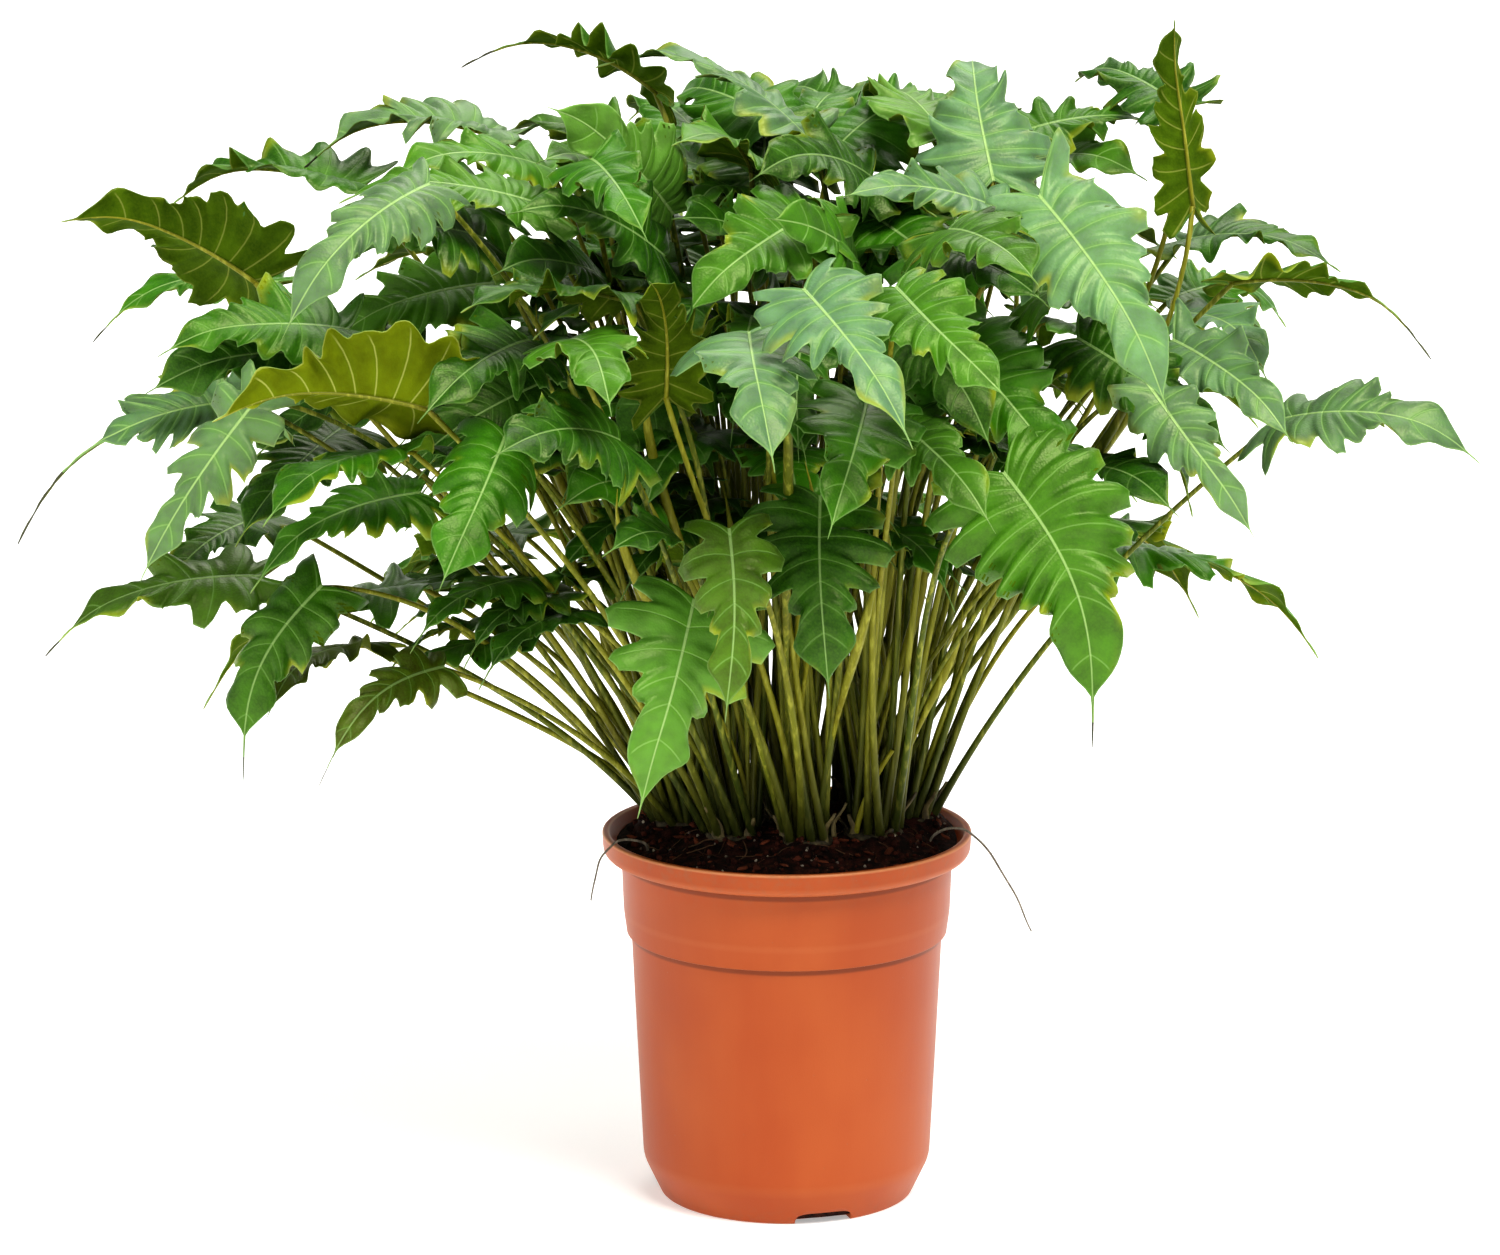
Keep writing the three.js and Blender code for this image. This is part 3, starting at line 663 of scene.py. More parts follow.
@dataclass(frozen=True)
class StalkFinish:
    """Leaf stalk: from green to yellow olive, streaked along its length and dark at its foot."""

    green: Colour = (0.055, 0.09, 0.006)
    yellow: Colour = (0.255, 0.24, 0.014)
    pale: Colour = (0.5, 0.49, 0.075)
    brown: Colour = (0.11, 0.072, 0.012)
    foot: Colour = (0.016, 0.022, 0.004)
    streak_pitch: float = 0.003
    blotch_pitch: float = 0.03
    fleck_pitch: float = 0.0011
    roughness: float = 0.34
    gloss: float = 0.34
    relief: float = 0.0004

    def build(self) -> Material:
        """Makes the material, where the middle number of a stalk's place says how yellow it is.

        Returns:
            The material.
        """
        s = Surface("leaf_stalk")
        height, kind, _ = s.read("place")
        streak = s.noise(self.streak_pitch, 2.0, (1.0, 1.0, 0.08))
        blotch = s.noise(self.blotch_pitch, 2.0)
        fleck = s.noise(self.fleck_pitch, 1.0).step(0.66, 0.76) * blotch.step(0.45, 0.6)
        body = s.mix(kind * 0.8 + blotch * 0.3 - 0.1, self.green, self.yellow)
        body = s.mix(streak.step(0.46, 0.72) * 0.5, body, self.pale)
        body = s.mix(blotch.step(0.55, 0.8) * 0.3 + fleck * 0.4, body, self.brown)
        body = s.mix(height.step(0.3, 0.0) * 0.88, body, self.foot)
        return s.close(
            Base_Color=body,
            Roughness=self.roughness + streak * 0.15,
            Specular_IOR_Level=self.gloss,
            Specular_Tint=(1.0, 1.0, 0.6, 1.0),
            Normal=s.bump(streak + fleck * 0.5, self.relief, 0.6),
        )


@dataclass(frozen=True)
class FibreFinish:
    """Dry plant matter: crown stems, papery sheaths and loose roots."""

    name: str
    dark: Colour
    light: Colour
    pitch: float = 0.004
    roughness: float = 0.8

    def build(self) -> Material:
        """Makes the material: fine grain in two tones with a rough, ridged surface.

        Returns:
            The material.
        """
        s = Surface(self.name)
        grain = s.noise(self.pitch, 4.0, (1.0, 1.0, 0.3))
        speck = s.noise(self.pitch / 5, 2.0)
        body = s.mix(grain.step(0.3, 0.72), self.dark, self.light)
        body = s.mix(speck.step(0.55, 0.75) * 0.4, body, self.dark)
        return s.close(
            Base_Color=body,
            Roughness=self.roughness + speck * 0.15,
            Normal=s.bump(grain + speck * 0.4, self.pitch / 6, 0.8),
        )


@dataclass(frozen=True)
class PeatFinish:
    """Damp potting peat: near-black brown with reddish and pale specks."""

    dark: Colour = (0.0052, 0.0018, 0.0014)
    brown: Colour = (0.042, 0.011, 0.0068)
    speck: Colour = (0.16, 0.11, 0.075)
    clod_pitch: float = 0.006
    grit_pitch: float = 0.0012
    fleck_pitch: float = 0.0042
    roughness: float = 0.72
    gloss: float = 0.12
    relief: float = 0.0016

    def build(self) -> Material:
        """Makes the material, with each crumb's own tone over the ground's.

        Returns:
            The material.
        """
        s = Surface("peat")
        clod = s.noise(self.clod_pitch, 4.0)
        grit = s.noise(self.grit_pitch)
        fleck = s.cells(self.fleck_pitch)
        body = s.mix(clod.step(0.35, 0.7), self.dark, self.brown)
        body = s.mix(grit.step(0.45, 0.7) * 0.5, body, self.dark)
        body = s.mix(fleck.step(0.13, 0.08) * grit.step(0.45, 0.6), body, self.speck)
        body = s.mix(1.0, body, s.tint("tone"), "ADD")
        return s.close(
            Base_Color=body,
            Roughness=self.roughness + grit * 0.25,
            Specular_IOR_Level=self.gloss,
            Normal=s.bump(clod * 0.6 + grit * 0.6, self.relief, 1.0),
        )


@dataclass(frozen=True)
class PotFinish:
    """Satin moulded plastic in terracotta orange, with faint flow marks, scuffs and peat dust.

    Its edges are lighter from wear and from a painted highlight at the rim, and painted shade
    lines darken it under the rim and under the step's ledge.
    """

    body: Colour = (0.35, 0.056, 0.006)
    light: Colour = (0.46, 0.11, 0.022)
    dust: Colour = (0.23, 0.11, 0.055)
    # Painted shade: dark lines just under the step's ledge and just under the rim, where shade falls.
    painted_shade_line: Colour = (0.15, 0.026, 0.002)
    # Lighter edges: rubbed wear, and a painted highlight along the rim's top edge.
    worn_and_highlight: Colour = (0.64, 0.27, 0.12)
    painted_shade_heights: Span = (0.1738, 0.2243)
    painted_shade_edge: Span = (7e-6, 5e-7)
    cloud_pitch: float = 0.07
    grain_pitch: float = 0.0009
    drawn_pitch: float = 0.012
    scuff_pitch: float = 0.003
    pit_pitch: float = 0.011
    dust_pitch: float = 0.004
    roughness: float = 0.36
    gloss: float = 0.32
    relief: float = 0.0004

    def build(self) -> Material:
        """Makes the material: broad cloudiness, fine grain, rubbed edges with a painted highlight and
        dust at the rim.

        A painted shade line darkens by a smooth step of the squared distance to its height, where
        shade falls under the rim and under the step's ledge.

        Returns:
            The material.
        """
        s = Surface("pot_plastic")
        height, edge_wear_and_highlight, dusty = s.read("place")
        cloud = s.noise(self.cloud_pitch, 2.0, (1.0, 1.0, 0.6))
        grain = s.noise(self.grain_pitch, 2.0)
        drawn = s.noise(self.drawn_pitch, 3.0, (1.0, 1.0, 0.06))
        scuff = s.noise(self.scuff_pitch, 3.0, (1.0, 1.0, 7.0)).step(0.66, 0.78)
        scuff = scuff * cloud.step(0.45, 0.7)
        pit = s.cells(self.pit_pitch).step(0.045, 0.03)
        colour = s.mix(cloud.step(0.25, 0.8) * 0.45 + drawn * 0.15, self.body, self.light)
        # Edge wear, with the rim's top edge lightest as a painted highlight.
        colour = s.mix(edge_wear_and_highlight * 0.85, colour, self.worn_and_highlight)
        colour = s.mix(scuff * 0.3, colour, self.light)
        dusty_patch = dusty * s.noise(self.dust_pitch).step(0.42, 0.68)
        colour = s.mix(dusty_patch * 0.3, colour, self.dust)
        colour = s.mix(pit * 0.35, colour, self.dust)
        # Painted shade lines, where shade falls under the step's ledge and under the rim.
        for low in self.painted_shade_heights:
            away = height - low
            colour = s.mix((away * away).step(*self.painted_shade_edge) * 0.7, colour, self.painted_shade_line)
        return s.close(
            Base_Color=colour,
            Roughness=self.roughness + cloud * 0.1 + scuff * 0.25 + dusty * 0.08,
            Specular_IOR_Level=self.gloss,
            Normal=s.bump(grain * 0.25 + drawn * 0.5 - pit * 0.6, self.relief, 0.5),
        )


@dataclass(frozen=True)
class FloorFinish:
    """Plain pale studio floor, faintly clouded and lit a little from below."""

    glow: float = 0.38
    pale: Colour = (0.86, 0.86, 0.85)
    shade: Colour = (0.8, 0.8, 0.79)
    cloud_pitch: float = 0.5
    grain_pitch: float = 0.004
    roughness: float = 0.75
    relief: float = 0.0003

    def build(self) -> Material:
        """Makes the material: faint clouds and a fine grain.

        Returns:
            The material.
        """
        s = Surface("studio_floor")
        cloud = s.noise(self.cloud_pitch)
        grain = s.noise(self.grain_pitch, 2.0)
        return s.close(
            Base_Color=s.mix(cloud.step(0.3, 0.7) * 0.5 + grain * 0.2, self.pale, self.shade),
            Roughness=self.roughness + cloud * 0.15,
            Emission_Color=(*self.pale, 1.0),
            Emission_Strength=self.glow,
            Normal=s.bump(grain, self.relief, 0.2),
        )


# Leaves


@dataclass(frozen=True)
class BladeShape:
    """How a blade is drawn, in parts of its length. Lengths, thickness and dry_drip are in metres.

    The rows per lobe are even numbers, so that a row of points lies on each side vein.
    """

    # Lobes, and the rays that they are drawn along
    lobes: tuple[int, int, int] = (5, 6, 7)
    short_length: float = 0.12
    usual_length: float = 0.14
    long_length: float = 0.155
    full_width: float = 0.76
    lobed_part: Span = (0.47, 0.58)
    crowding: float = 1.15
    end_angle: float = math.radians(43)
    turn_back: float = math.radians(92)
    angle_fall: float = 1.4
    first_reach: float = 0.22
    last_reach: float = 0.165
    more_reach: float = 0.145
    reach_lean: float = 0.8
    foot_share: float = 0.04
    foot_rise: float = 0.45

    # One lobe, from cut to cut
    forward: float = 1.22
    steep: float = 1.9
    fullness: float = 0.78
    nib: float = 0.13
    nib_width: float = 0.13
    tooth: float = 0.07
    teeth: int = 3
    cut: Span = (0.2, 0.43)
    last_cut: float = 0.72
    growth: float = 0.13

    # End lobe and drawn-out tip
    broad_part: float = 0.42
    end_width: Span = (0.108, 0.16)
    end_fall: float = 1.6
    end_fill: float = 1.7
    end_wave: float = 0.11
    end_waves: float = 8.5
    end_back: float = 0.4
    last_foot: float = 0.999
    least_drip: float = 8.0
    drip_width: float = 0.01
    drip_end: float = 1.02
    drip_fall: float = 0.6
    dry_drip: float = 0.019
    dry_part: float = 0.75
    dry_blend: float = 0.12
    dry_mark: float = 0.4

    # Rib
    catch_up: float = 0.6
    backward_part: float = 0.6
    bow: float = 0.045
    droop: Span = (0.01, 0.13)
    droop_part: Span = (0.4, 1.1)
    hook: Span = (0.01, 0.09)
    hook_part: Span = (0.6, 1.1)
    twist: float = math.radians(28)

    # Relief
    thickness: Span = (0.0008, 0.0004)
    keel: float = 0.2
    roll: Span = (0.6, 1.6)
    cut_roll: float = 0.02
    lift: float = 0.11
    swell: float = 0.006
    wave: float = 0.026
    waves: float = 4.4
    wave_width: float = 0.12
    vein_curve: float = 0.26
    vein_past: float = 0.004
    vein_stop: Span = (-0.4, 0.2)

    # Grid
    end_places: int = 3
    first_place: float = 0.03
    rows_per_lobe: int = 10
    end_rows: int = 18
    inner_rows: tuple[int, int] = (6, 12)
    reaches: tuple[float, ...] = (0.0, 0.05, 0.14, 0.28, 0.46, 0.66, 0.85, 1.0)
    inner_reaches: tuple[float, ...] = (0.0, 0.12, 0.4, 0.74, 1.0)

    # Colour
    tones: tuple[Tone, ...] = (Tone.DEEP, Tone.RICH, Tone.FRESH)
    tone_fall: float = 1.45
    brightness: Span = (0.8, 1.25)
    hue: Span = (0.93, 1.07)


@dataclass(frozen=True)
class StalkShape:
    """Sizes of a stalk and of the ridge that it runs on as, below the blade.

    Where there are two numbers of steps or sides, the second is for the small inner leaves.
    """

    radii: Span = (0.0024, 0.0016)
    steps: tuple[int, int] = (34, 22)
    sides: tuple[int, int] = (9, 7)
    crowding: float = 1.15
    rise: float = 0.45
    bend: float = 0.6
    under: float = 0.4
    hold: float = 0.35
    sway: float = 0.05
    sink: float = 0.7
    overlap: float = 0.002
    flare: float = 0.0011
    flare_fall: float = 14.0
    knee: float = 0.0003
    knee_place: float = 0.97
    knee_width: float = 0.03
    groove: float = 0.13
    groove_fall: int = 4
    ridge_radius: float = 0.0015
    ridge_steps: int = 14
    ridge_sides: int = 6
    ridge_end: float = 0.86
    ridge_taper: float = 0.82
    ridge_gap: float = 0.0001


BLADE = BladeShape()
STALK = StalkShape()
EYE = (0.0, -4.0, 1.262)


@dataclass(frozen=True)
class LeafRow:
    """A leaf of the front view, in millimetres.

    Its base and tip are set out as the eye of that view sees them: across and up in the plane
    through the pot's axis, then how far behind that plane they lie. lean is in degrees from
    facing up towards facing the front, turn swings that facing about the upright, width and arch
    are parts of the length, and drip is the length of a drawn-out tip. fold raises both halves
    off the rib as a gutter, roll is how strongly they curl down, cut is the depth between lobes
    as a part of their reach, bow is how far the rib bends aside, and lobes is their number on a
    side.
    """

    base: Point
    tip: Point
    lean: float
    width: float = 0.8
    arch: float = 0.08
    drip: float = 0.0
    turn: float = 0.0
    fold: float = 0.0
    roll: float | None = None
    cut: float | None = None
    bow: float | None = None
    lobes: int | None = None
    tone: Tone | None = None

    def leaf(self, seed: int) -> "Leaf":
        """The leaf where it grows.

        A point is seen along the ray from the eye, lengthened by its depth. A leaf shorter than
        the usual length, because others hide part of it, runs on mostly backwards.

        Args:
            seed: Number that sets the leaf's own small draws.

        Returns:
            The leaf in metres.
        """
        eye = np.array(EYE)
        base, tip = (
            (np.array([x, 0.0, up]) * MM - eye) * (1 + depth * MM / abs(eye[1])) + eye
            for x, up, depth in (self.base, self.tip)
        )
        axis = unit(tip - base)
        extra = BLADE.catch_up * max(0.0, BLADE.usual_length - float(np.linalg.norm(tip - base)))
        base = base - axis * BLADE.backward_part * extra
        tip = tip + axis * (1 - BLADE.backward_part) * extra
        facing = leaning(self.lean, self.turn)
        drip = max(self.drip, BLADE.least_drip) * MM
        return Leaf(
            base, tip, facing, self.width, self.arch, drip, self.tone, seed,
            fold=self.fold, roll=self.roll, cut=self.cut, bow=self.bow, lobes=self.lobes,
        )


def leaning(lean: float, turn: float) -> Array:
    """Direction that leans so many degrees from up towards the front, then turns about the upright."""
    down, way = math.radians(lean), math.radians(turn)
    return np.array([math.sin(down) * math.sin(way), -math.sin(down) * math.cos(way), math.cos(down)])


@dataclass
class Leaf:
    """One leaf: a lobed blade on an arched rib, its rib's ridge below and its stalk.

    Along and across are parts of the blade's length. A place is counted in lobes from the stalk:
    whole places are cuts and half places are the middles of lobes. Past the last cut, the places
    run on over the end lobe. A tone, roll, cut, bow or number of lobes that isn't given is drawn.
    spot is the place of its stalk on the crown, from the crown's middle.
    """

    base: Array
    tip: Array
    facing: Array
    width: float
    arch: float
    drip: float
    tone: Tone | None
    seed: int
    inner: bool = False
    fold: float = 0.0
    roll: float | None = None
    cut: float | None = None
    bow: float | None = None
    lobes: int | None = None
    spot: Array | None = None

    def __post_init__(self) -> None:
        """Works out the rib's curve and the leaf's own draws. Shallow lobes are more alike."""
        self.length = float(np.linalg.norm(self.tip - self.base))
        self.axis = unit(self.tip - self.base)
        self.facing = across(self.facing, self.axis)
        self.crest = (self.base + self.tip) / 2 + self.facing * 2 * self.arch * self.length
        draw = np.random.default_rng(self.seed)
        grown = (self.length >= BLADE.short_length) + (self.length > BLADE.long_length)
        self.lobes = self.lobes or BLADE.lobes[grown]
        cut = draw.uniform(*BLADE.cut)
        self.cut = cut if self.cut is None else self.cut
        roll = draw.uniform(*BLADE.roll)
        self.roll = roll if self.roll is None else self.roll
        self.lobed_part = draw.uniform(*BLADE.lobed_part) * (1 - self.drip / self.length)
        self.end_width = draw.uniform(*BLADE.end_width)
        unlike = min(1.0, self.cut / BLADE.cut[0])
        self.lobe_growth = draw.uniform(-BLADE.growth, BLADE.growth, (2, self.lobes)) * unlike
        self.lobe_lift = draw.uniform(-BLADE.lift, BLADE.lift, (2, self.lobes)) * unlike
        self.twist = draw.uniform(-BLADE.twist, BLADE.twist)
        bow = draw.uniform(-BLADE.bow, BLADE.bow)
        self.bow = bow if self.bow is None else self.bow
        self.droop = draw.uniform(*BLADE.droop)
        self.hook = draw.uniform(*BLADE.hook)
        self.wave = draw.uniform(0, 2 * math.pi, 2)
        self.draw = draw
        if self.tone is None:
            self.tone = BLADE.tones[int(len(BLADE.tones) * draw.random() ** BLADE.tone_fall)]
        brightness = draw.uniform(*BLADE.brightness)
        self.colour = np.array(self.tone.value) * brightness * draw.uniform(*BLADE.hue, 3)
        self.stalk_kind = draw.random()

    def curve(self, along: Array) -> Array:
        """The rib: a quadratic Bezier over its crest, bowed aside by a sine, drooping and hooked down.

        Droop and hook grow as the square of a smooth step.

        Args:
            along: Parts of the length.

        Returns:
            Places.
        """
        s = along[..., None]
        place = (1 - s) ** 2 * self.base + 2 * s * (1 - s) * self.crest + s**2 * self.tip
        aside = np.cross(self.axis, self.facing) * self.bow * np.sin(math.pi * s)
        droop = self.facing * self.droop * smooth(s, *BLADE.droop_part) ** 2
        down = droop + UP * self.hook * smooth(s, *BLADE.hook_part) ** 2
        return place + (aside - down) * self.length

    def rib(self, along: Array) -> Pair:
        """Places and directions of the rib, each direction from the places just before and after."""
        return self.curve(along), unit(self.curve(along + 1e-3) - self.curve(along - 1e-3))

    def sides(self, directions: Array, along: Array) -> Pair:
        """Outward and sideways directions of the blade along its rib, with the leaf's own twist."""
        out = across(np.broadcast_to(self.facing, directions.shape), directions)
        return rotated(np.cross(directions, out), out, (self.twist * along)[..., None])[::-1]

    def outline(self, place: Array, side: int) -> tuple[Array, Array, Array]:
        """The ray from the rib to the edge at each place.

        In the lobed part a ray's foot goes up the rib as part^1.15, it turns from 135 degrees
        backward at the stalk to 43 forward, and its reach is 0.22 - 0.055·part plus
        0.145·sin(pi·part^0.8), cut back between lobes by a rounded square wave. In the end lobe
        the half-width rises to its broadest as a quarter sine, then falls as
        (1 - x)^1.6·(1 + 1.7x), waved by a sine, with the drip's own thin width after it.

        Args:
            place: Places from the stalk, counted in lobes.
            side: 0 for the left half and 1 for the right, or -1 for a half with no growth drawn.

        Returns:
            The foot's place along the rib, and the edge's places along and across.
        """
        scale = self.width / BLADE.full_width
        inner = np.minimum(place, self.lobes)
        part = inner / self.lobes
        foot = self.lobed_part * part**BLADE.crowding
        angle = BLADE.end_angle + BLADE.turn_back * (1 - part) ** BLADE.angle_fall
        envelope = BLADE.first_reach + (BLADE.last_reach - BLADE.first_reach) * part
        envelope = envelope + BLADE.more_reach * np.sin(math.pi * part**BLADE.reach_lean)
        in_lobe = (inner - np.floor(inner)) ** BLADE.forward
        wave = -np.cos(2 * math.pi * in_lobe)
        low, high = (math.tanh(BLADE.steep * (BLADE.fullness + end)) for end in (-1, 1))
        finger = (np.tanh(BLADE.steep * (wave + BLADE.fullness)) - low) / (high - low)
        finger = finger + BLADE.nib * np.exp(-(((in_lobe - 0.5) / BLADE.nib_width) ** 2))
        finger = finger + BLADE.tooth * np.sin(2 * math.pi * BLADE.teeth * in_lobe) * finger
        if side >= 0:
            lobe = np.minimum(inner.astype(int), self.lobes - 1)
            finger = finger * (1 + self.lobe_growth[side][lobe] / self.cut)
        start = BLADE.foot_share + (1 - BLADE.foot_share) * smooth(inner, 0.0, BLADE.foot_rise)
        depth = self.cut * (1 - BLADE.last_cut * part**4)
        reach = envelope * (1 - depth * (1 - finger)) * start
        edge_along = foot + reach * np.cos(angle)
        edge_across = reach * np.sin(angle)
        last_reach = BLADE.last_reach * (1 - self.cut * (1 - BLADE.last_cut))
        end_start = self.lobed_part + last_reach * math.cos(BLADE.end_angle)
        first_width = last_reach * math.sin(BLADE.end_angle)
        run = np.clip((place - self.lobes) / BLADE.end_places, 0, 1)
        end_length = 1 - self.drip / self.length - end_start
        blade_part = np.minimum(run * (1 - end_start) / end_length, 1)
        rise = np.sin(math.pi / 2 * np.minimum(blade_part / BLADE.broad_part, 1))
        fall = np.clip((blade_part - BLADE.broad_part) / (1 - BLADE.broad_part), 0, 1)
        half_width = first_width + (self.end_width - first_width) * rise
        half_width = half_width * (1 - fall) ** BLADE.end_fall * (1 + BLADE.end_fill * fall)
        if side >= 0:
            bend = np.sin(math.pi * blade_part) * np.sin(BLADE.end_waves * blade_part + self.wave[side])
            half_width = half_width * (1 + BLADE.end_wave * bend)
        half_width = half_width + BLADE.drip_width * rise * (BLADE.drip_end - run) ** BLADE.drip_fall
        end_along = end_start + run * (1 - end_start)
        end_foot = np.minimum(end_along - half_width * (1 - BLADE.end_back * run), BLADE.last_foot)
        in_end = place > self.lobes
        foot = np.where(in_end, end_foot, foot)
        edge_along = np.where(in_end, end_along, edge_along)
        edge_across = np.where(in_end, half_width, edge_across)
        return foot, edge_along, edge_across * scale

    def blade(self, form: Form) -> None:
        """Adds the blade: both lobed halves as one thin sheet.

        A point at a place and at a part r of the reach lies on the ray from foot to edge, bent
        back by r·(1 - r) as side veins are. Each half leaves the rib at the slope of the keel and
        the fold, and curls down on a circle of radius 1 / (2·roll), so that a across becomes
        sin(2·roll·a) / (2·roll). Each lobe lifts or droops a little, swells between its veins and
        waves at its edge.

        Args:
            form: The crown's form.
        """
        lobe_rows, end_rows = BLADE.inner_rows if self.inner else (BLADE.rows_per_lobe, BLADE.end_rows)
        lobed = np.maximum(np.arange(self.lobes * lobe_rows + 1) / lobe_rows, BLADE.first_place)
        end = self.lobes + BLADE.end_places * np.linspace(0, 1, end_rows + 1)[1:]
        place = np.concatenate([lobed, end])[:, None]
        half = np.array(BLADE.inner_reaches if self.inner else BLADE.reaches)
        reach = np.concatenate([-half[:0:-1], half])[None, :]
        size = np.abs(reach)
        foot, _, _ = self.outline(place, -1)
        edges = [self.outline(place, side)[1:] for side in (0, 1)]
        left = reach < 0
        edge_along, edge_across = (np.where(left, *pair) for pair in zip(*edges))
        bulge = BLADE.vein_curve * size * (1 - size)
        along = foot + (edge_along - foot) * size - bulge * edge_across
        sideways = np.sign(reach) * (edge_across * size + bulge * (edge_along - foot))
        lobe = np.minimum(place, self.lobes - 1e-6).astype(int)
        lift = np.where(left, *(half_lift[lobe] for half_lift in self.lobe_lift))
        in_lobe = np.sin(math.pi * place) ** 2
        lobed_part = place < self.lobes
        ripple = np.where(lobed_part, lift * in_lobe * size**2, 0.0)
        swell = BLADE.swell * np.sin(2 * math.pi * place) ** 2 * np.sin(math.pi * size)
        waving = BLADE.wave * np.sin(BLADE.waves * place + np.where(left, *self.wave)) * size**3
        waving = waving * np.minimum(edge_across / BLADE.wave_width, 1)
        rolled = -BLADE.cut_roll * (1 - in_lobe) * size**2 * lobed_part
        turned = 2 * self.roll * sideways
        curled = np.sin(turned) / (2 * self.roll * math.hypot(1, self.fold))
        height = (BLADE.keel + self.fold) * np.abs(curled) - (1 - np.cos(turned)) / (2 * self.roll)
        height = height + ripple + swell + waving + rolled
        inside = np.maximum(along, 0)
        on_rib, directions = self.rib(inside)
        out, side = self.sides(directions, inside)
        top = on_rib + (directions * (along - inside)[..., None] + side * curled[..., None]) * self.length
        top = top + out * (height * self.length)[..., None]
        thickness = BLADE.thickness[0] + (BLADE.thickness[1] - BLADE.thickness[0]) * size
        bottom = top - out * np.broadcast_to(thickness, along.shape)[..., None]
        flat = np.stack([along, sideways], axis=-1) * self.length
        values = {
            "tone": np.broadcast_to(self.colour, top.shape),
            "lines": self.lines(place, reach, flat),
            "place": np.stack(np.broadcast_arrays(place, size, self.withered(along)), axis=-1),
        }
        form.add_sheet(top, bottom, (Slot.UPPER, Slot.LOWER), **values)

    def withered(self, along: Array) -> Array:
        """Parts of the length, raised past 1 by a smooth step where a long drawn-out tip is dry."""
        dry = 1 - BLADE.dry_part * self.drip / self.length
        mark = BLADE.dry_mark * (self.drip > BLADE.dry_drip)
        return along + mark * smooth(along, dry, dry + BLADE.dry_blend)

    def lines(self, place: Array, reach: Array, flat: Array) -> Array:
        """Distances in metres from each point of the blade to its nearest lines.

        The nearest side vein is the curved ray at the nearest half place, and the distance to it
        is the places between, times how far apart neighbouring rays lie there. The midrib is the
        line of no sideways reach. The margin's distance is the unused reach times how far apart
        lines of equal reach lie there.

        Args:
            place: Places by row.
            reach: Part of the reach by column, less than 0 on the left.
            flat: Points of the blade laid flat, in metres.

        Returns:
            Distances to the vein, the midrib and the margin.
        """
        down = np.gradient(flat, place[:, 0], axis=0)
        over = np.gradient(flat, reach[0], axis=1)
        area = np.abs(down[..., 0] * over[..., 1] - down[..., 1] * over[..., 0])
        last = self.lobes + BLADE.end_places - 1
        stop = (last + BLADE.vein_stop[0], last + BLADE.vein_stop[1])
        from_vein = np.abs(place - np.minimum(np.floor(place), last) - 0.5)
        vein = from_vein * area / np.maximum(np.linalg.norm(over, axis=-1), 1e-9)
        vein = vein + BLADE.vein_past * smooth(place, *stop)
        margin = (1 - np.abs(reach)) * area / np.maximum(np.linalg.norm(down, axis=-1), 1e-9)
        return np.stack([vein, np.abs(flat[..., 1]), margin], axis=-1)

    def ridge(self, form: Form) -> None:
        """Adds the midrib's ridge: a tube that tapers along the rib, just below the blade.

        Args:
            form: The crown's form.
        """
        along = np.linspace(0.0, STALK.ridge_end, STALK.ridge_steps)
        centres, directions = self.rib(along)
        out, side = self.sides(directions, along)
        radii = STALK.ridge_radius * (1 - STALK.ridge_taper * along)
        centres = centres - out * (radii + STALK.ridge_gap)[:, None]
        values = self.stalk_values(along + 1)
        form.add_tube((centres, directions), side, radii, STALK.ridge_sides, Slot.STALK, **values)

    def stalk_values(self, height: Array) -> dict[str, Array]:
        """Surface values of the stalk's rings: the leaf's colour, and the place up the stalk."""
        zero = np.zeros_like(height)
        return {
            "tone": np.broadcast_to(self.colour, (len(height), 3)),
            "place": np.stack([height, zero + self.stalk_kind, zero], axis=-1),
        }

    def stalk(self, form: Form, crown: Array) -> None:
        """Adds the stalk: a slim tube on a cubic Bezier from its spot on the crown to the blade.

        It leaves the crown steeply, and bends over towards the blade's own direction from below.
        It is stouter at its foot, with a flare for its sheath.

        Args:
            form: The crown's form.
            crown: The crown's place, at the height that stalks start from.
        """
        root = crown + np.array([*self.spot, 0.0])
        hold = STALK.hold * float(np.linalg.norm(root - self.base))
        straight = unit(self.base - root)
        leave = unit(straight + UP * STALK.rise)
        arrive = unit(straight + self.axis * STALK.bend + self.facing * STALK.under)
        end = self.base - self.facing * STALK.radii[1] * STALK.sink + self.axis * STALK.overlap
        aside = across(np.cross(straight, UP), straight) * (STALK.sway / STALK.hold * hold)
        sway = self.draw.uniform(-1, 1, (2, 1)) * aside
        points = np.array([root, root + leave * hold + sway[0], self.base - arrive * hold + sway[1], end])
        steps, sides = STALK.steps[self.inner], STALK.sides[self.inner]
        part = np.linspace(0, 1, steps) ** STALK.crowding
        radii = STALK.radii[0] + (STALK.radii[1] - STALK.radii[0]) * part
        radii = radii + STALK.flare * np.exp(-part * STALK.flare_fall)
        radii = radii + STALK.knee * np.exp(-(((part - STALK.knee_place) / STALK.knee_width) ** 2))
        groove = np.clip(np.cos(circle(sides) - math.pi / 2), 0, 1)[None] ** STALK.groove_fall
        grooved = radii[:, None] * (1 - STALK.groove * groove)
        side = np.cross(self.axis, self.facing)
        values = self.stalk_values(part)
        form.add_tube(cubic(points, part), side, grooved, sides, Slot.STALK, **values)


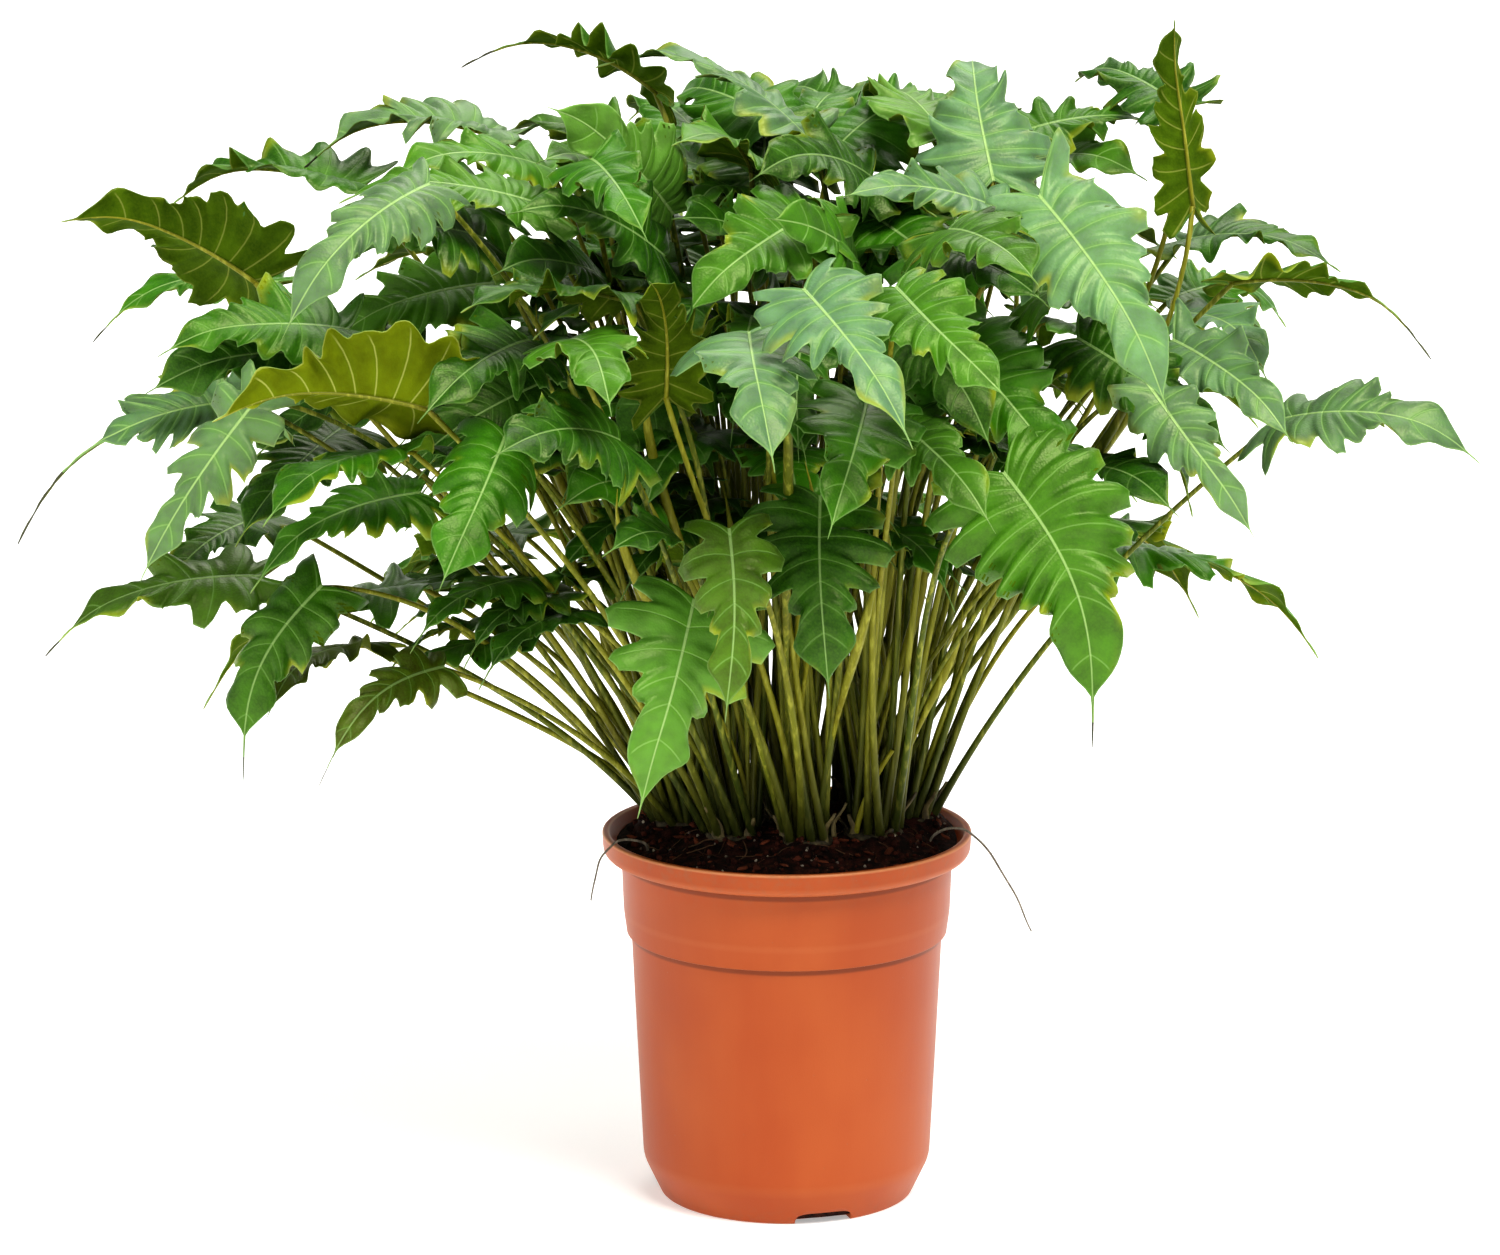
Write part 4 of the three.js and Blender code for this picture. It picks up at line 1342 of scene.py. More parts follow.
@dataclass(frozen=True)
class Tier:
    """A ring of leaves that the front view hides, round the back or inside the plant.

    Its leaves stand at even angles from one to the other, counted in degrees from +X towards +Y,
    with their bases and tips at the two radii and heights in millimetres. vary is how far their
    angles and heights are spread.
    """

    leaves: int
    angles: Span
    radii: Span
    heights: Span
    lean: float
    vary: Span = (9.0, 34.0)
    inner: bool = False
    drip: float = 14.0
    centre: Span = (-15.0, 30.0)
    vary_radius: float = 30.0
    vary_width: float = 0.32
    least_width: float = 0.66
    arch: float = 0.1

    def grow(self, number: int) -> list[Leaf]:
        """The tier's leaves, each varied by the golden ratio's multiples in a fixed order.

        Args:
            number: The tier's number, counted from the lowest.

        Returns:
            The leaves in metres.
        """
        leaves = []
        for i in range(self.leaves):
            seed = 7 * number + i + 1
            angle = self.angles[0] + (self.angles[1] - self.angles[0]) / (self.leaves - 1) * i
            angle += varied(seed, self.vary[0])
            way = math.radians(angle)
            lift = varied(3 * seed, self.vary[1])
            grown = varied(2 * seed, self.vary_radius)
            base, tip = (
                np.array([
                    self.centre[0] + (radius + grown) * math.cos(way),
                    self.centre[1] + (radius + grown) * math.sin(way),
                    height + lift,
                ]) * MM
                for radius, height in zip(self.radii, self.heights)
            )
            width = self.least_width + abs(varied(5 * seed, self.vary_width))
            facing = leaning(self.lean, angle + 90)
            drip = self.drip * MM
            leaves.append(Leaf(base, tip, facing, width, self.arch, drip, None, 500 + seed, self.inner))
        return leaves


def varied(seed: int, spread: float) -> float:
    """The fraction of a seed's golden-ratio multiple, less a half, times the spread."""
    return spread * ((seed * GOLDEN) % 1 - 0.5)


@dataclass
class Crown:
    """A short thick stem in its hole in the peat, with the leaves that have grown from it."""

    side: str
    place: Span
    leaves: list[Leaf]
    radius: float = 0.0205
    bottom: float = 0.206
    top: float = 0.2495
    stalk_height: float = 0.245
    ring: float = 0.017
    stem_rings: int = 22
    stem_sides: int = 40
    dome_start: float = 0.72
    dome_shrink: float = 0.62
    dome_height: float = 0.001
    lump: float = 0.02
    scar: float = 0.03
    sheaths: int = 5
    sheath_ring: float = 0.93
    sheath_height: Span = (0.01, 0.03)
    sheath_width: Span = (0.003, 0.006)
    sheath_lean: Span = (0.05, 0.5)
    sheath_sway: float = 0.3
    sheath_bulge: float = 0.0035
    sheath_curl: float = 0.001
    sheath_sink: float = 0.003
    sheath_thickness: float = 0.0005
    shoots: int = 6
    shoot_height: Span = (0.12, 0.36)
    shoot_lean: Span = (0.1, 0.55)
    shoot_sway: float = 0.1
    shoot_spread: float = 0.012
    shoot_ring: float = 0.7
    shoot_hold: Span = (0.4, 0.3)
    shoot_blade: float = 0.4
    shoot_radii: tuple[float, float, float] = (0.0002, 0.0015, 0.0017)
    shoot_yellow: Span = (0.2, 1.0)
    stub_foot: Span = (-0.012, -0.01)
    stub_route: tuple[Point, ...] = (
        (0.0, 0.0, 0.0), (0.004, -0.002, 0.025), (0.014, -0.004, 0.045), (0.024, -0.006, 0.06),
    )
    stub_radii: Span = (0.0022, 0.0015)
    stub_yellow: float = 1.3
    seed: int = 0
    form: Form = field(default_factory=Form)

    def space_stalks(self) -> None:
        """Gives each stalk its spot on a spiral.

        The leaf that reaches farthest chooses first, and takes the free spot most on its way.
        """
        count = len(self.leaves)
        turn = np.arange(count) * GOLDEN_ANGLE
        radius = self.ring * np.sqrt((np.arange(count) + 0.5) / count)
        spots = list(turned(radius, 0.0, turn)[:, :2])
        middle = np.array(self.place)
        for leaf in sorted(self.leaves, key=lambda leaf: -np.linalg.norm(leaf.base[:2] - middle)):
            way = unit(leaf.base[:2] - middle)
            chosen = max(range(len(spots)), key=lambda i: float(spots[i] @ way))
            leaf.spot = spots.pop(chosen)

    def stem(self) -> None:
        """Adds the stem: a lumpy drum ringed by leaf scars, with a low domed top.

        The scars are seven half waves up the stem. The rings rise evenly up the drum, and more
        slowly over the dome, where the radius shrinks by a smooth step.
        """
        turn = circle(self.stem_sides)[None, :]
        part = np.linspace(0, 1, self.stem_rings)[:, None]
        dome = smooth(part, self.dome_start, 1.0)
        lumpy = 1 + self.lump * np.sin(5 * turn + 9 * part)
        radius = self.radius * (1 - self.dome_shrink * dome) * lumpy
        radius = radius * (1 - self.scar * np.abs(np.sin(22 * part)))
        rise = np.minimum(part * 1.3, 1 - 0.12 * (1 - part))
        height = self.bottom + (self.top - self.bottom) * rise
        rings = turned(radius, height, turn) + np.array([*self.place, 0.0])
        ends = np.array([[*self.place, self.bottom], [*self.place, self.top + self.dome_height]])
        self.form.add_body(rings, ends, Slot.STEM)

    def sheath(self, number: int) -> None:
        """Adds one papery sheath: a pointed trough that clasps the stalks at the crown's edge.

        Its width falls as the root of what is left of its height, and it curves in and out again.

        Args:
            number: Its number round the crown.
        """
        draw = np.random.default_rng(70 * len(self.side) + number)
        height = draw.uniform(*self.sheath_height)
        width = draw.uniform(*self.sheath_width)
        turn = number * GOLDEN_ANGLE + draw.uniform(-self.sheath_sway, self.sheath_sway)
        lean = draw.uniform(*self.sheath_lean)
        up = np.linspace(0, 1, 9)[:, None]
        round_part = np.linspace(-1, 1, 7)[None, :]
        sweep = width * np.sqrt(1.02 - up) * round_part
        bulge = self.sheath_bulge * (1 - round_part**2) * (1 - 0.6 * up)
        bulge = bulge + lean * height * up**2 + self.sheath_curl * np.sin(9 * up)
        outward = self.ring * self.sheath_ring + bulge
        rise = self.stalk_height - self.sheath_sink + height * up + 0 * round_part
        way = np.array([math.cos(turn), math.sin(turn)])
        side = np.array([-way[1], way[0]])
        flat = np.array(self.place) + outward[..., None] * way + sweep[..., None] * side
        outer = np.concatenate([flat, rise[..., None]], axis=-1)
        inner = outer - np.array([*way, 0.0]) * self.sheath_thickness
        self.form.add_sheet(outer, inner, (Slot.SHEATH, Slot.SHEATH))

    def shoot(self, number: int) -> None:
        """Adds one young leaf, still rolled: a slim spindle on a bowed stalk, among the others.

        Its radius is the stalk's, which tapers to the tip, plus a sine to the power 1.5 over the
        part above shoot_blade, which is the rolled blade.

        Args:
            number: Its number on the crown.
        """
        draw = np.random.default_rng(900 + 20 * self.seed + number)
        turn = draw.uniform(0, 2 * math.pi)
        height = draw.uniform(*self.shoot_height)
        lean = draw.uniform(*self.shoot_lean)
        way = np.array([math.cos(turn), math.sin(turn), 0.0])
        outward = unit(np.array([*self.place, 0.0]) + self.shoot_spread * way)
        root = np.array([*self.place, self.stalk_height]) + way * self.shoot_ring * self.ring
        tip = root + UP * height + outward * lean * height
        sway = np.cross(UP, outward) * draw.uniform(-self.shoot_sway, self.shoot_sway) * height
        leave, arrive = (UP * hold * height for hold in self.shoot_hold)
        points = np.array([root, root + leave, tip - arrive + sway, tip])
        part = np.linspace(0, 1, 18)
        blade = np.clip((part - self.shoot_blade) / (1 - self.shoot_blade), 0, 1)
        end, stalk, rolled = self.shoot_radii
        radii = stalk * (1 - smooth(part, 0.8, 1.0)) + rolled * np.sin(math.pi * blade) ** 1.5 + end
        kind = np.full_like(part, draw.uniform(*self.shoot_yellow))
        place = np.stack([part, kind, 0 * part], axis=-1)
        self.form.add_tube(cubic(points, part), way, radii, 7, Slot.STALK, place=place)

    def stub(self) -> None:
        """Adds the dry stub of a cut stalk that stands slanting out of this crown."""
        root = np.array([*(np.array(self.place) + self.stub_foot), self.stalk_height])
        path = cubic(root + np.array(self.stub_route), np.linspace(0, 1, 16))
        radii = np.linspace(*self.stub_radii, 16)
        pale = np.broadcast_to([1.0, self.stub_yellow, 0.0], path[0].shape)
        self.form.add_tube(path, BACK, radii, 8, Slot.STALK, place=pale)

    def build(self, materials: list[Material]) -> None:
        """Makes the crown in place of its solid.

        Args:
            materials: Materials in the order of the slots.
        """
        self.space_stalks()
        self.stem()
        for number in range(self.sheaths):
            self.sheath(number)
        for number in range(self.shoots):
            self.shoot(number)
        if self.side == "front_right":
            self.stub()
        root = np.array([*self.place, self.stalk_height])
        for leaf in self.leaves:
            leaf.stalk(self.form, root)
            leaf.ridge(self.form)
            leaf.blade(self.form)
        piece = self.form.build(f"foliage_{self.side}", materials)
        settle(piece, f"crown_{self.side}")


def settle(piece: Piece, node: str) -> None:
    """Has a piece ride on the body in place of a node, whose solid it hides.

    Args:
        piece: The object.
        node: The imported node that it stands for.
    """
    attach(piece, "root")
    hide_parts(node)
    faces = sum(polygon.loop_total - 2 for polygon in piece.data.polygons)
    LOG.info("%s stands for %s with %d triangles", piece.name, node, faces)


@dataclass
class Plant:
    """All the crowns, each at its place, with the leaves that have grown from it."""

    places: dict[str, Span]
    rows: dict[str, tuple[LeafRow, ...]]
    tiers: tuple[Tier, ...]
    tier_crowns: tuple[tuple[str, float], ...]

    def crowns(self) -> list[Crown]:
        """Grows the leaves. A tier's leaf joins the crown in whose range of angles its base stands.

        Returns:
            The crowns.
        """
        leaves = {}
        for crown, (side, rows) in enumerate(self.rows.items()):
            leaves[side] = [row.leaf(100 * crown + number) for number, row in enumerate(rows)]
        for number, tier in enumerate(self.tiers):
            for leaf in tier.grow(number):
                angle = math.degrees(math.atan2(leaf.base[1], leaf.base[0]))
                leaves[next(side for side, end in self.tier_crowns if angle < end)].append(leaf)
        return [
            Crown(side, tuple(np.array(self.places[side]) * MM), leaves[side], seed=seed)
            for seed, side in enumerate(self.rows)
        ]

    def build(self) -> None:
        """Makes every crown in the plant's five finishes."""
        materials = [
            BladeFinish().build(),
            # The lower side: olive, partly its own colour and partly a painted glow of light through the
            # blade.
            BladeFinish(
                "leaf_lower", under_share=0.55, bright=(0.13, 0.2, 0.008), light=(0.46, 0.48, 0.12),
                vein_share=0.6, rib_light=(0.42, 0.4, 0.08), rib_share=0.6, roughness=0.58, gloss=0.05,
            ).build(),
            StalkFinish().build(),
            FibreFinish("crown_stem", (0.02, 0.016, 0.008), (0.11, 0.085, 0.04)).build(),
            FibreFinish("papery_sheath", (0.035, 0.024, 0.009), (0.19, 0.15, 0.055), 0.006, 0.6).build(),
        ]
        for crown in self.crowns():
            crown.build(materials)


# Pot


@dataclass
class Pot:
    """Flared nursery pot: foot, chamfer, tapered body, step, collar and rolled rim, in one shell."""

    wall: float = 0.002
    floor: float = 0.003
    foot_radius: float = 0.0825
    chamfer_radius: float = 0.094
    chamfer_height: float = 0.024
    body_radius: float = 0.1015
    body_height: float = 0.175
    step_radius: float = 0.1065
    step_height: float = 0.19
    collar_radius: float = 0.108
    rim_foot: float = 0.228
    rim_radius: float = 0.1205
    lip_radius: float = 0.116
    height: float = 0.243
    ledge: float = 0.003
    ledge_rise: float = 0.0006
    slope: float = 0.001
    centre_radius: float = 0.004
    roundings: tuple[float, ...] = (
        0.0015, 0.005, 0.0004, 0.0006, 0.003, 0.0005, 0.0052, 0.002, 0.0012, 0.003, 0.003, 0.003,
        0.003, 0.002,
    )
    # Edge wear of each corner, in their order; the rim and lip have the most, as a painted highlight.
    wears_and_highlights: tuple[float, ...] = (0.3, 0.06, 0.0, 0.2, 0.07, 0.0, 0.2, 1.0, 0.6, 0.0, 0.0, 0.0, 0.0, 0.0)
    sides: int = 168
    notches: int = 3
    notch_width: float = 0.038
    notch_height: float = 0.008
    notch_depth: float = 0.024
    notch_sides: int = 48
    first_notch: float = math.radians(-73)
    rim_dust: float = 0.205
    foot_dust: float = 0.018
    dust_pitch: float = 0.02

    def inside(self, gap: float) -> list[Span]:
        """Radius and height of the inner corners from collar to chamfer, set in by the gap."""
        return [
            (self.collar_radius - gap, self.rim_foot),
            (self.step_radius - gap, self.step_height + self.slope),
            (self.body_radius - gap, self.body_height),
            (self.chamfer_radius - gap, self.chamfer_height + self.slope),
        ]

    def profile(self) -> Array:
        """The shell's section, from the foot's middle round the rim to the floor's middle.

        Each corner is rounded by a quadratic Bezier between points at its rounding's distance on
        either side, and edge wear, with a painted highlight at the rim, rises over it as a half
        sine. The corners stand in the order foot, chamfer, body, ledge, step, collar, rim's foot,
        rim, lip, the inner corners, floor.

        Returns:
            Rows of radius, height and wear with painted highlight, from 0 to 1.
        """
        corners = np.array([
            (self.foot_radius, 0.0),
            (self.chamfer_radius, self.chamfer_height),
            (self.body_radius, self.body_height),
            (self.body_radius + self.ledge, self.body_height + self.ledge_rise),
            (self.step_radius, self.step_height),
            (self.collar_radius, self.rim_foot - self.slope),
            (self.rim_radius - self.slope, self.rim_foot),
            (self.rim_radius, self.height),
            (self.lip_radius, self.height),
            *self.inside(self.wall),
            (self.foot_radius - self.slope, self.floor),
        ])
        rows = [np.array([[self.centre_radius, 0.0, 0.0]])]
        before = np.vstack([[0.0, 0.0], corners[:-1]])
        after = np.vstack([corners[1:], [0.0, self.floor]])
        s = np.linspace(0, 1, 6)[:, None]
        for corner, last, following, size, wear_and_highlight in zip(corners, before, after, self.roundings, self.wears_and_highlights):
            back = corner + unit(last - corner) * size
            forth = corner + unit(following - corner) * size
            arc = (1 - s) ** 2 * back + 2 * s * (1 - s) * corner + s**2 * forth
            start = rows[-1][-1, :2]
            run = start + (back - start) * np.linspace(0, 1, 7)[1:-1, None]
            rows.append(np.hstack([run, np.zeros((len(run), 1))]))
            rows.append(np.hstack([arc, wear_and_highlight * np.sin(math.pi * s)]))
        rows.append(np.array([[self.centre_radius, self.floor, 0.0]]))
        return np.vstack(rows)

    def build(self) -> None:
        """Makes the pot: the profile turned about the axis, with each notch cut out of its foot."""
        profile = self.profile()
        rings = turned(profile[:, :1], profile[:, 1:2], circle(self.sides))
        form = Form()
        form.add_body(rings, np.array([[0.0, 0.0, 0.0], [0.0, 0.0, self.floor]]))
        piece = form.build("nursery_pot", [PotFinish().build()])
        for number in range(self.notches):
            self.cut_notch(piece, self.first_notch + number * 2 * math.pi / self.notches)
        self.mark(piece, profile)
        settle(piece, "pot")

    def mark(self, piece: Piece, profile: Array) -> None:
        """Gives each point of the cut pot its height, wear with painted highlight, and dust.

        The wear and highlight are those of the nearest point of the profile. Dust lies towards the
        rim and foot.

        Args:
            piece: The pot.
            profile: Rows of radius, height and wear.
        """
        count = len(piece.data.vertices)
        places = np.empty(count * 3, dtype=np.float32)
        piece.data.vertices.foreach_get("co", places)
        places = places.reshape(-1, 3)
        height = places[:, 2]
        section = np.stack([np.hypot(places[:, 0], places[:, 1]), height], axis=-1)
        apart = ((section[:, None] - profile[None, :, :2].astype(np.float32)) ** 2).sum(axis=-1)
        wear_and_highlight = profile[apart.argmin(axis=1), 2]
        patches = 0.5 + 0.5 * value_noise(places[:, :2], self.dust_pitch, 3)
        dusty = smooth(height, self.rim_dust, self.height) * patches
        dusty = np.maximum(dusty, smooth(height, self.foot_dust, 0.0) * 0.5)
        values = np.stack([height, wear_and_highlight, dusty], axis=-1).astype(np.float32)
        piece.data.attributes["place"].data.foreach_set("vector", values.ravel())

    def cut_notch(self, piece: Piece, turn: float) -> None:
        """Cuts one drain notch: a block with a rounded roof is taken from the foot's edge.

        The block's section is half a superellipse: |x|^4 + |z|^4 = 1 across and up.

        Args:
            piece: The pot.
            turn: Angle of the notch about the axis.
        """
        bow = circle(self.notch_sides)
        breadth = np.sign(np.cos(bow)) * np.abs(np.cos(bow)) ** 0.5 * self.notch_width / 2
        rise = np.sign(np.sin(bow)) * np.abs(np.sin(bow)) ** 0.5 * self.notch_height
        way = np.array([math.cos(turn), math.sin(turn), 0.0])
        side = np.array([-way[1], way[0], 0.0])
        outward = self.foot_radius + np.array([-1.0, 1.0]) * self.notch_depth / 2
        section = breadth[None, :, None] * side
        rings = outward[:, None, None] * way + section + rise[None, :, None] * UP
        cutter = Form()
        cutter.add_body(rings, outward[:, None] * way)
        block = cutter.build("notch_block", [])
        cut = piece.modifiers.new("notch", "BOOLEAN")
        cut.operation = "DIFFERENCE"
        cut.solver = "EXACT"
        cut.object = block
        graph = bpy.context.evaluated_depsgraph_get()
        notched = bpy.data.meshes.new_from_object(piece.evaluated_get(graph), depsgraph=graph)
        piece.modifiers.clear()
        piece.data = notched
        bpy.data.objects.remove(block)


# Peat and loose roots


@dataclass
class Peat:
    """Potting peat that fills the pot: a heaped, clodded top over plain sides, with loose bits."""

    pot: Pot
    crowns: tuple[Span, ...]
    mound_height: float = 0.2478
    mound_radius: float = 0.03
    mound_edge: int = 6
    gap: float = 0.0004
    edge_height: float = 0.236
    middle_height: float = 0.246
    edge_radius: float = 0.1108
    clods: tuple[Span, ...] = ((0.021, 0.0016), (0.009, 0.0012), (0.004, 0.0009), (0.0017, 0.0005))
    rings: int = 74
    sides: int = 180
    crumbs: int = 620
    crumb_size: Span = (0.0009, 0.0028)
    crumb_tone: Colour = (0.08, 0.02, 0.011)
    chips: int = 90
    chip_size: Point = (0.0048, 0.002, 0.0011)
    chip_tone: Colour = (0.16, 0.044, 0.02)
    grain_size: Span = (0.0007, 0.0013)
    grain_tone: Colour = (0.42, 0.37, 0.3)
    fibres: int = 46
    fibre_length: Span = (0.012, 0.034)
    fibre_radius: Span = (0.00025, 0.0006)
    fibre_inset: float = 0.003
    fibre_rise: float = 0.0006
    fibre_tone: Colour = (0.1, 0.062, 0.035)
    lump_radius: Span = (0.72, 1.22)
    lump_rise: float = 0.35
    inset: float = 0.006
    foot_inset: float = 0.0014
    draw: np.random.Generator = field(default_factory=lambda: np.random.default_rng(11))
    form: Form = field(default_factory=Form)

    def ground(self, place: Array) -> Array:
        """Height of the top at places: the heap, 1 - (r/R)², with clods of four sizes on it.

        The clods are rows of pitch and depth. Round each crown the heap rises to the mound's
        height as exp(-(d/R)^6), which covers the stem.

        Args:
            place: Points, whose last axis holds x and y.

        Returns:
            Heights in metres.
        """
        radius = np.linalg.norm(place, axis=-1)
        part = np.minimum(radius / self.edge_radius, 1)
        heap = self.edge_height + (self.middle_height - self.edge_height) * (1 - part**2)
        for crown in self.crowns:
            apart = np.linalg.norm(place - np.array(crown) * MM, axis=-1) / self.mound_radius
            covered = (self.mound_height - heap) * np.exp(-(apart**self.mound_edge))
            heap = np.maximum(heap, heap + covered)
        relief = sum(
            depth * value_noise(place, pitch, number) for number, (pitch, depth) in enumerate(self.clods)
        )
        return heap + relief * (1 - 0.6 * part**8)

    def fill(self) -> None:
        """Adds the block of peat: its top as a grid of rings, and its sides just clear of the pot."""
        pot = self.pot
        turn = circle(self.sides)
        radius = self.edge_radius * np.linspace(0.012, 1, self.rings)[:, None] ** 0.85
        top = turned(radius, self.ground(turned(radius, 0.0, turn)[..., :2]), turn)
        foot = (pot.foot_radius - self.foot_inset, pot.floor + self.gap)
        wall = np.array([*pot.inside(self.gap + pot.wall), foot])
        rings = np.concatenate([top, turned(wall[:, :1], wall[:, 1:], turn)])[::-1]
        ends = np.array([[0.0, 0.0, pot.floor + self.gap], [0.0, 0.0, float(self.ground(np.zeros(2)))]])
        self.form.add_body(rings, ends)

    def lumps(self, sizes: Array, tones: Array) -> None:
        """Adds rough lumps that lie on the top, a third sunk.

        A lump is a sphere of four rings of six points and two poles. Its radius is varied from
        point to point, then it is stretched to its own length, breadth and height, tilted, and
        turned about the upright.

        Args:
            sizes: Half length, breadth and height of each lump, as rows.
            tones: Colours added to the ground's own, as rows.
        """
        draw = self.draw
        count = len(sizes)
        turn = circle(6)
        down = np.array([0.6, 1.25, 1.9, 2.55])[:, None]
        ball = turned(np.sin(down), np.cos(down), turn)
        points = np.concatenate([ball.reshape(-1, 3), [[0, 0, 1], [0, 0, -1]]])
        index = np.arange(24).reshape(4, 6)[::-1]
        shapes = points * draw.uniform(*self.lump_radius, (count, len(points), 1)) * sizes[:, None]
        tilt, way = draw.uniform(-0.5, 0.5, count), draw.uniform(0, 2 * math.pi, count)
        x, z = rotated(shapes[..., 0], shapes[..., 2], tilt[:, None])
        x, y = rotated(x, shapes[..., 1], way[:, None])
        radius = (self.edge_radius - self.inset) * np.sqrt(draw.uniform(0.0, 1.0, count))
        spot = turned(radius, 0.0, draw.uniform(0, 2 * math.pi, count))[:, :2]
        rise = self.ground(spot) + sizes[:, 2] * self.lump_rise
        placed = np.stack([x + spot[:, :1], y + spot[:, 1:], z + rise[:, None]], axis=-1)
        tone = np.repeat(tones[:, None], len(points), axis=1)
        first = self.form.add_points(placed, tone=tone)[:, :1, None]
        quads = grid_quads(np.hstack([index, index[:, :1]])).reshape(-1, 4)
        low, high = np.roll(index[0], -1), np.roll(index[-1], -1)
        bottom = np.stack([low, index[0], np.full(6, 25), np.full(6, 25)], axis=-1)
        cap = np.stack([index[-1], high, np.full(6, 24), np.full(6, 24)], axis=-1)
        self.form.add_quads(first + np.concatenate([quads, bottom, cap])[None])

    def fibre(self) -> None:
        """Adds one fine fibre that lies across the top in a line bowed by a parabola."""
        draw = self.draw
        start = draw.uniform(0.25, 0.85) * self.edge_radius
        turn, way = draw.uniform(0, 2 * math.pi, 2)
        length = draw.uniform(*self.fibre_length)
        s = np.linspace(-0.5, 0.5, 9)[:, None]
        middle = start * np.array([math.cos(turn), math.sin(turn)])
        along = np.array([math.cos(way), math.sin(way)])
        aside = np.array([-along[1], along[0]])
        bow = draw.uniform(-0.3, 0.3) * length * (1 - 4 * s**2)
        flat = middle + along * s * length + aside * bow
        reach = np.linalg.norm(flat, axis=1, keepdims=True)
        flat = flat * np.minimum(1, (self.edge_radius - self.fibre_inset) / reach)
        centres = np.concatenate([flat, self.ground(flat)[:, None] + self.fibre_rise], axis=1)
        directions = unit(np.gradient(centres, axis=0))
        side = across(np.broadcast_to(UP, directions.shape), directions)
        radii = draw.uniform(*self.fibre_radius) * (1 - 1.2 * s[:, 0] ** 2)
        tone = np.broadcast_to(draw.uniform(0.3, 1.2) * np.array(self.fibre_tone), centres.shape)
        self.form.add_tube((centres, directions), side, radii, 4, tone=tone)

    def build(self) -> None:
        """Makes the peat in place of its solid, with crumbs, bark chips, pale grains and fibres."""
        draw = self.draw
        self.fill()
        small = draw.uniform(*self.crumb_size, (self.crumbs, 1)) * draw.uniform(0.7, 1.1, (self.crumbs, 3))
        shade = draw.uniform(0, 1, (self.crumbs, 1)) ** 3 * np.array(self.crumb_tone)
        self.lumps(small, shade)
        long = draw.uniform(0.7, 1.3, (self.chips, 1)) * np.array(self.chip_size)
        bark = draw.uniform(0.1, 1, (self.chips, 1)) * np.array(self.chip_tone)
        self.lumps(long, bark)
        grain = draw.uniform(*self.grain_size, (self.chips, 3))
        pale = draw.uniform(0.2, 1, (self.chips, 1)) * np.array(self.grain_tone)
        self.lumps(grain, pale)
        for _ in range(self.fibres):
            self.fibre()
        settle(self.form.build("potting_peat", [PeatFinish().build()]), "peat")


@dataclass
class LooseRoot:
    """A thin root that comes out of the peat and hangs over the rim, in millimetres on its route."""

    side: str
    route: tuple[Point, ...]
    radius: float = 0.0009
    taper: float = 0.5
    waver: float = 0.0003
    knots: float = 0.06
    steps: int = 90
    sides: int = 10

    def build(self, material: Material) -> None:
        """Makes the root: a tube on a smooth curve through the route, thinning to its end.

        It wavers by a sine and a cosine, and is knotted by the product of two sines.

        Args:
            material: Its finish.
        """
        centres, directions = spline(np.array(self.route) * MM, self.steps)
        part = np.linspace(0, 1, self.steps)
        waver = np.stack([np.sin(31 * part), np.cos(23 * part), 0 * part], axis=-1)
        centres = centres + self.waver * waver
        knotted = 1 + self.knots * np.sin(47 * part) * np.sin(19 * part)
        radii = self.radius * (1.05 - self.taper * part**2) * knotted
        form = Form()
        form.add_tube((centres, directions), BACK, radii, self.sides)
        settle(form.build(f"loose_root_{self.side}", [material]), f"root_{self.side}")


# Studio


@dataclass(frozen=True)
class Lamp:
    """A far lamp with a wide disc, whose light is soft and even over the floor.

    azimuth is in degrees to the right of the viewer, elevation in degrees above the floor, power
    in watts a square metre, and spread in degrees across the disc.
    """

    name: str
    azimuth: float
    elevation: float
    power: float
    spread: float
    colour: Colour

    def hang(self) -> None:
        """Adds the lamp to the scene."""
        data = bpy.data.lights.new(self.name, "SUN")
        data.energy, data.angle, data.color = self.power, math.radians(self.spread), self.colour
        lamp = bpy.data.objects.new(self.name, data)
        lamp.rotation_euler = (math.radians(90 - self.elevation), 0.0, math.radians(self.azimuth))
        bpy.context.scene.collection.objects.link(lamp)


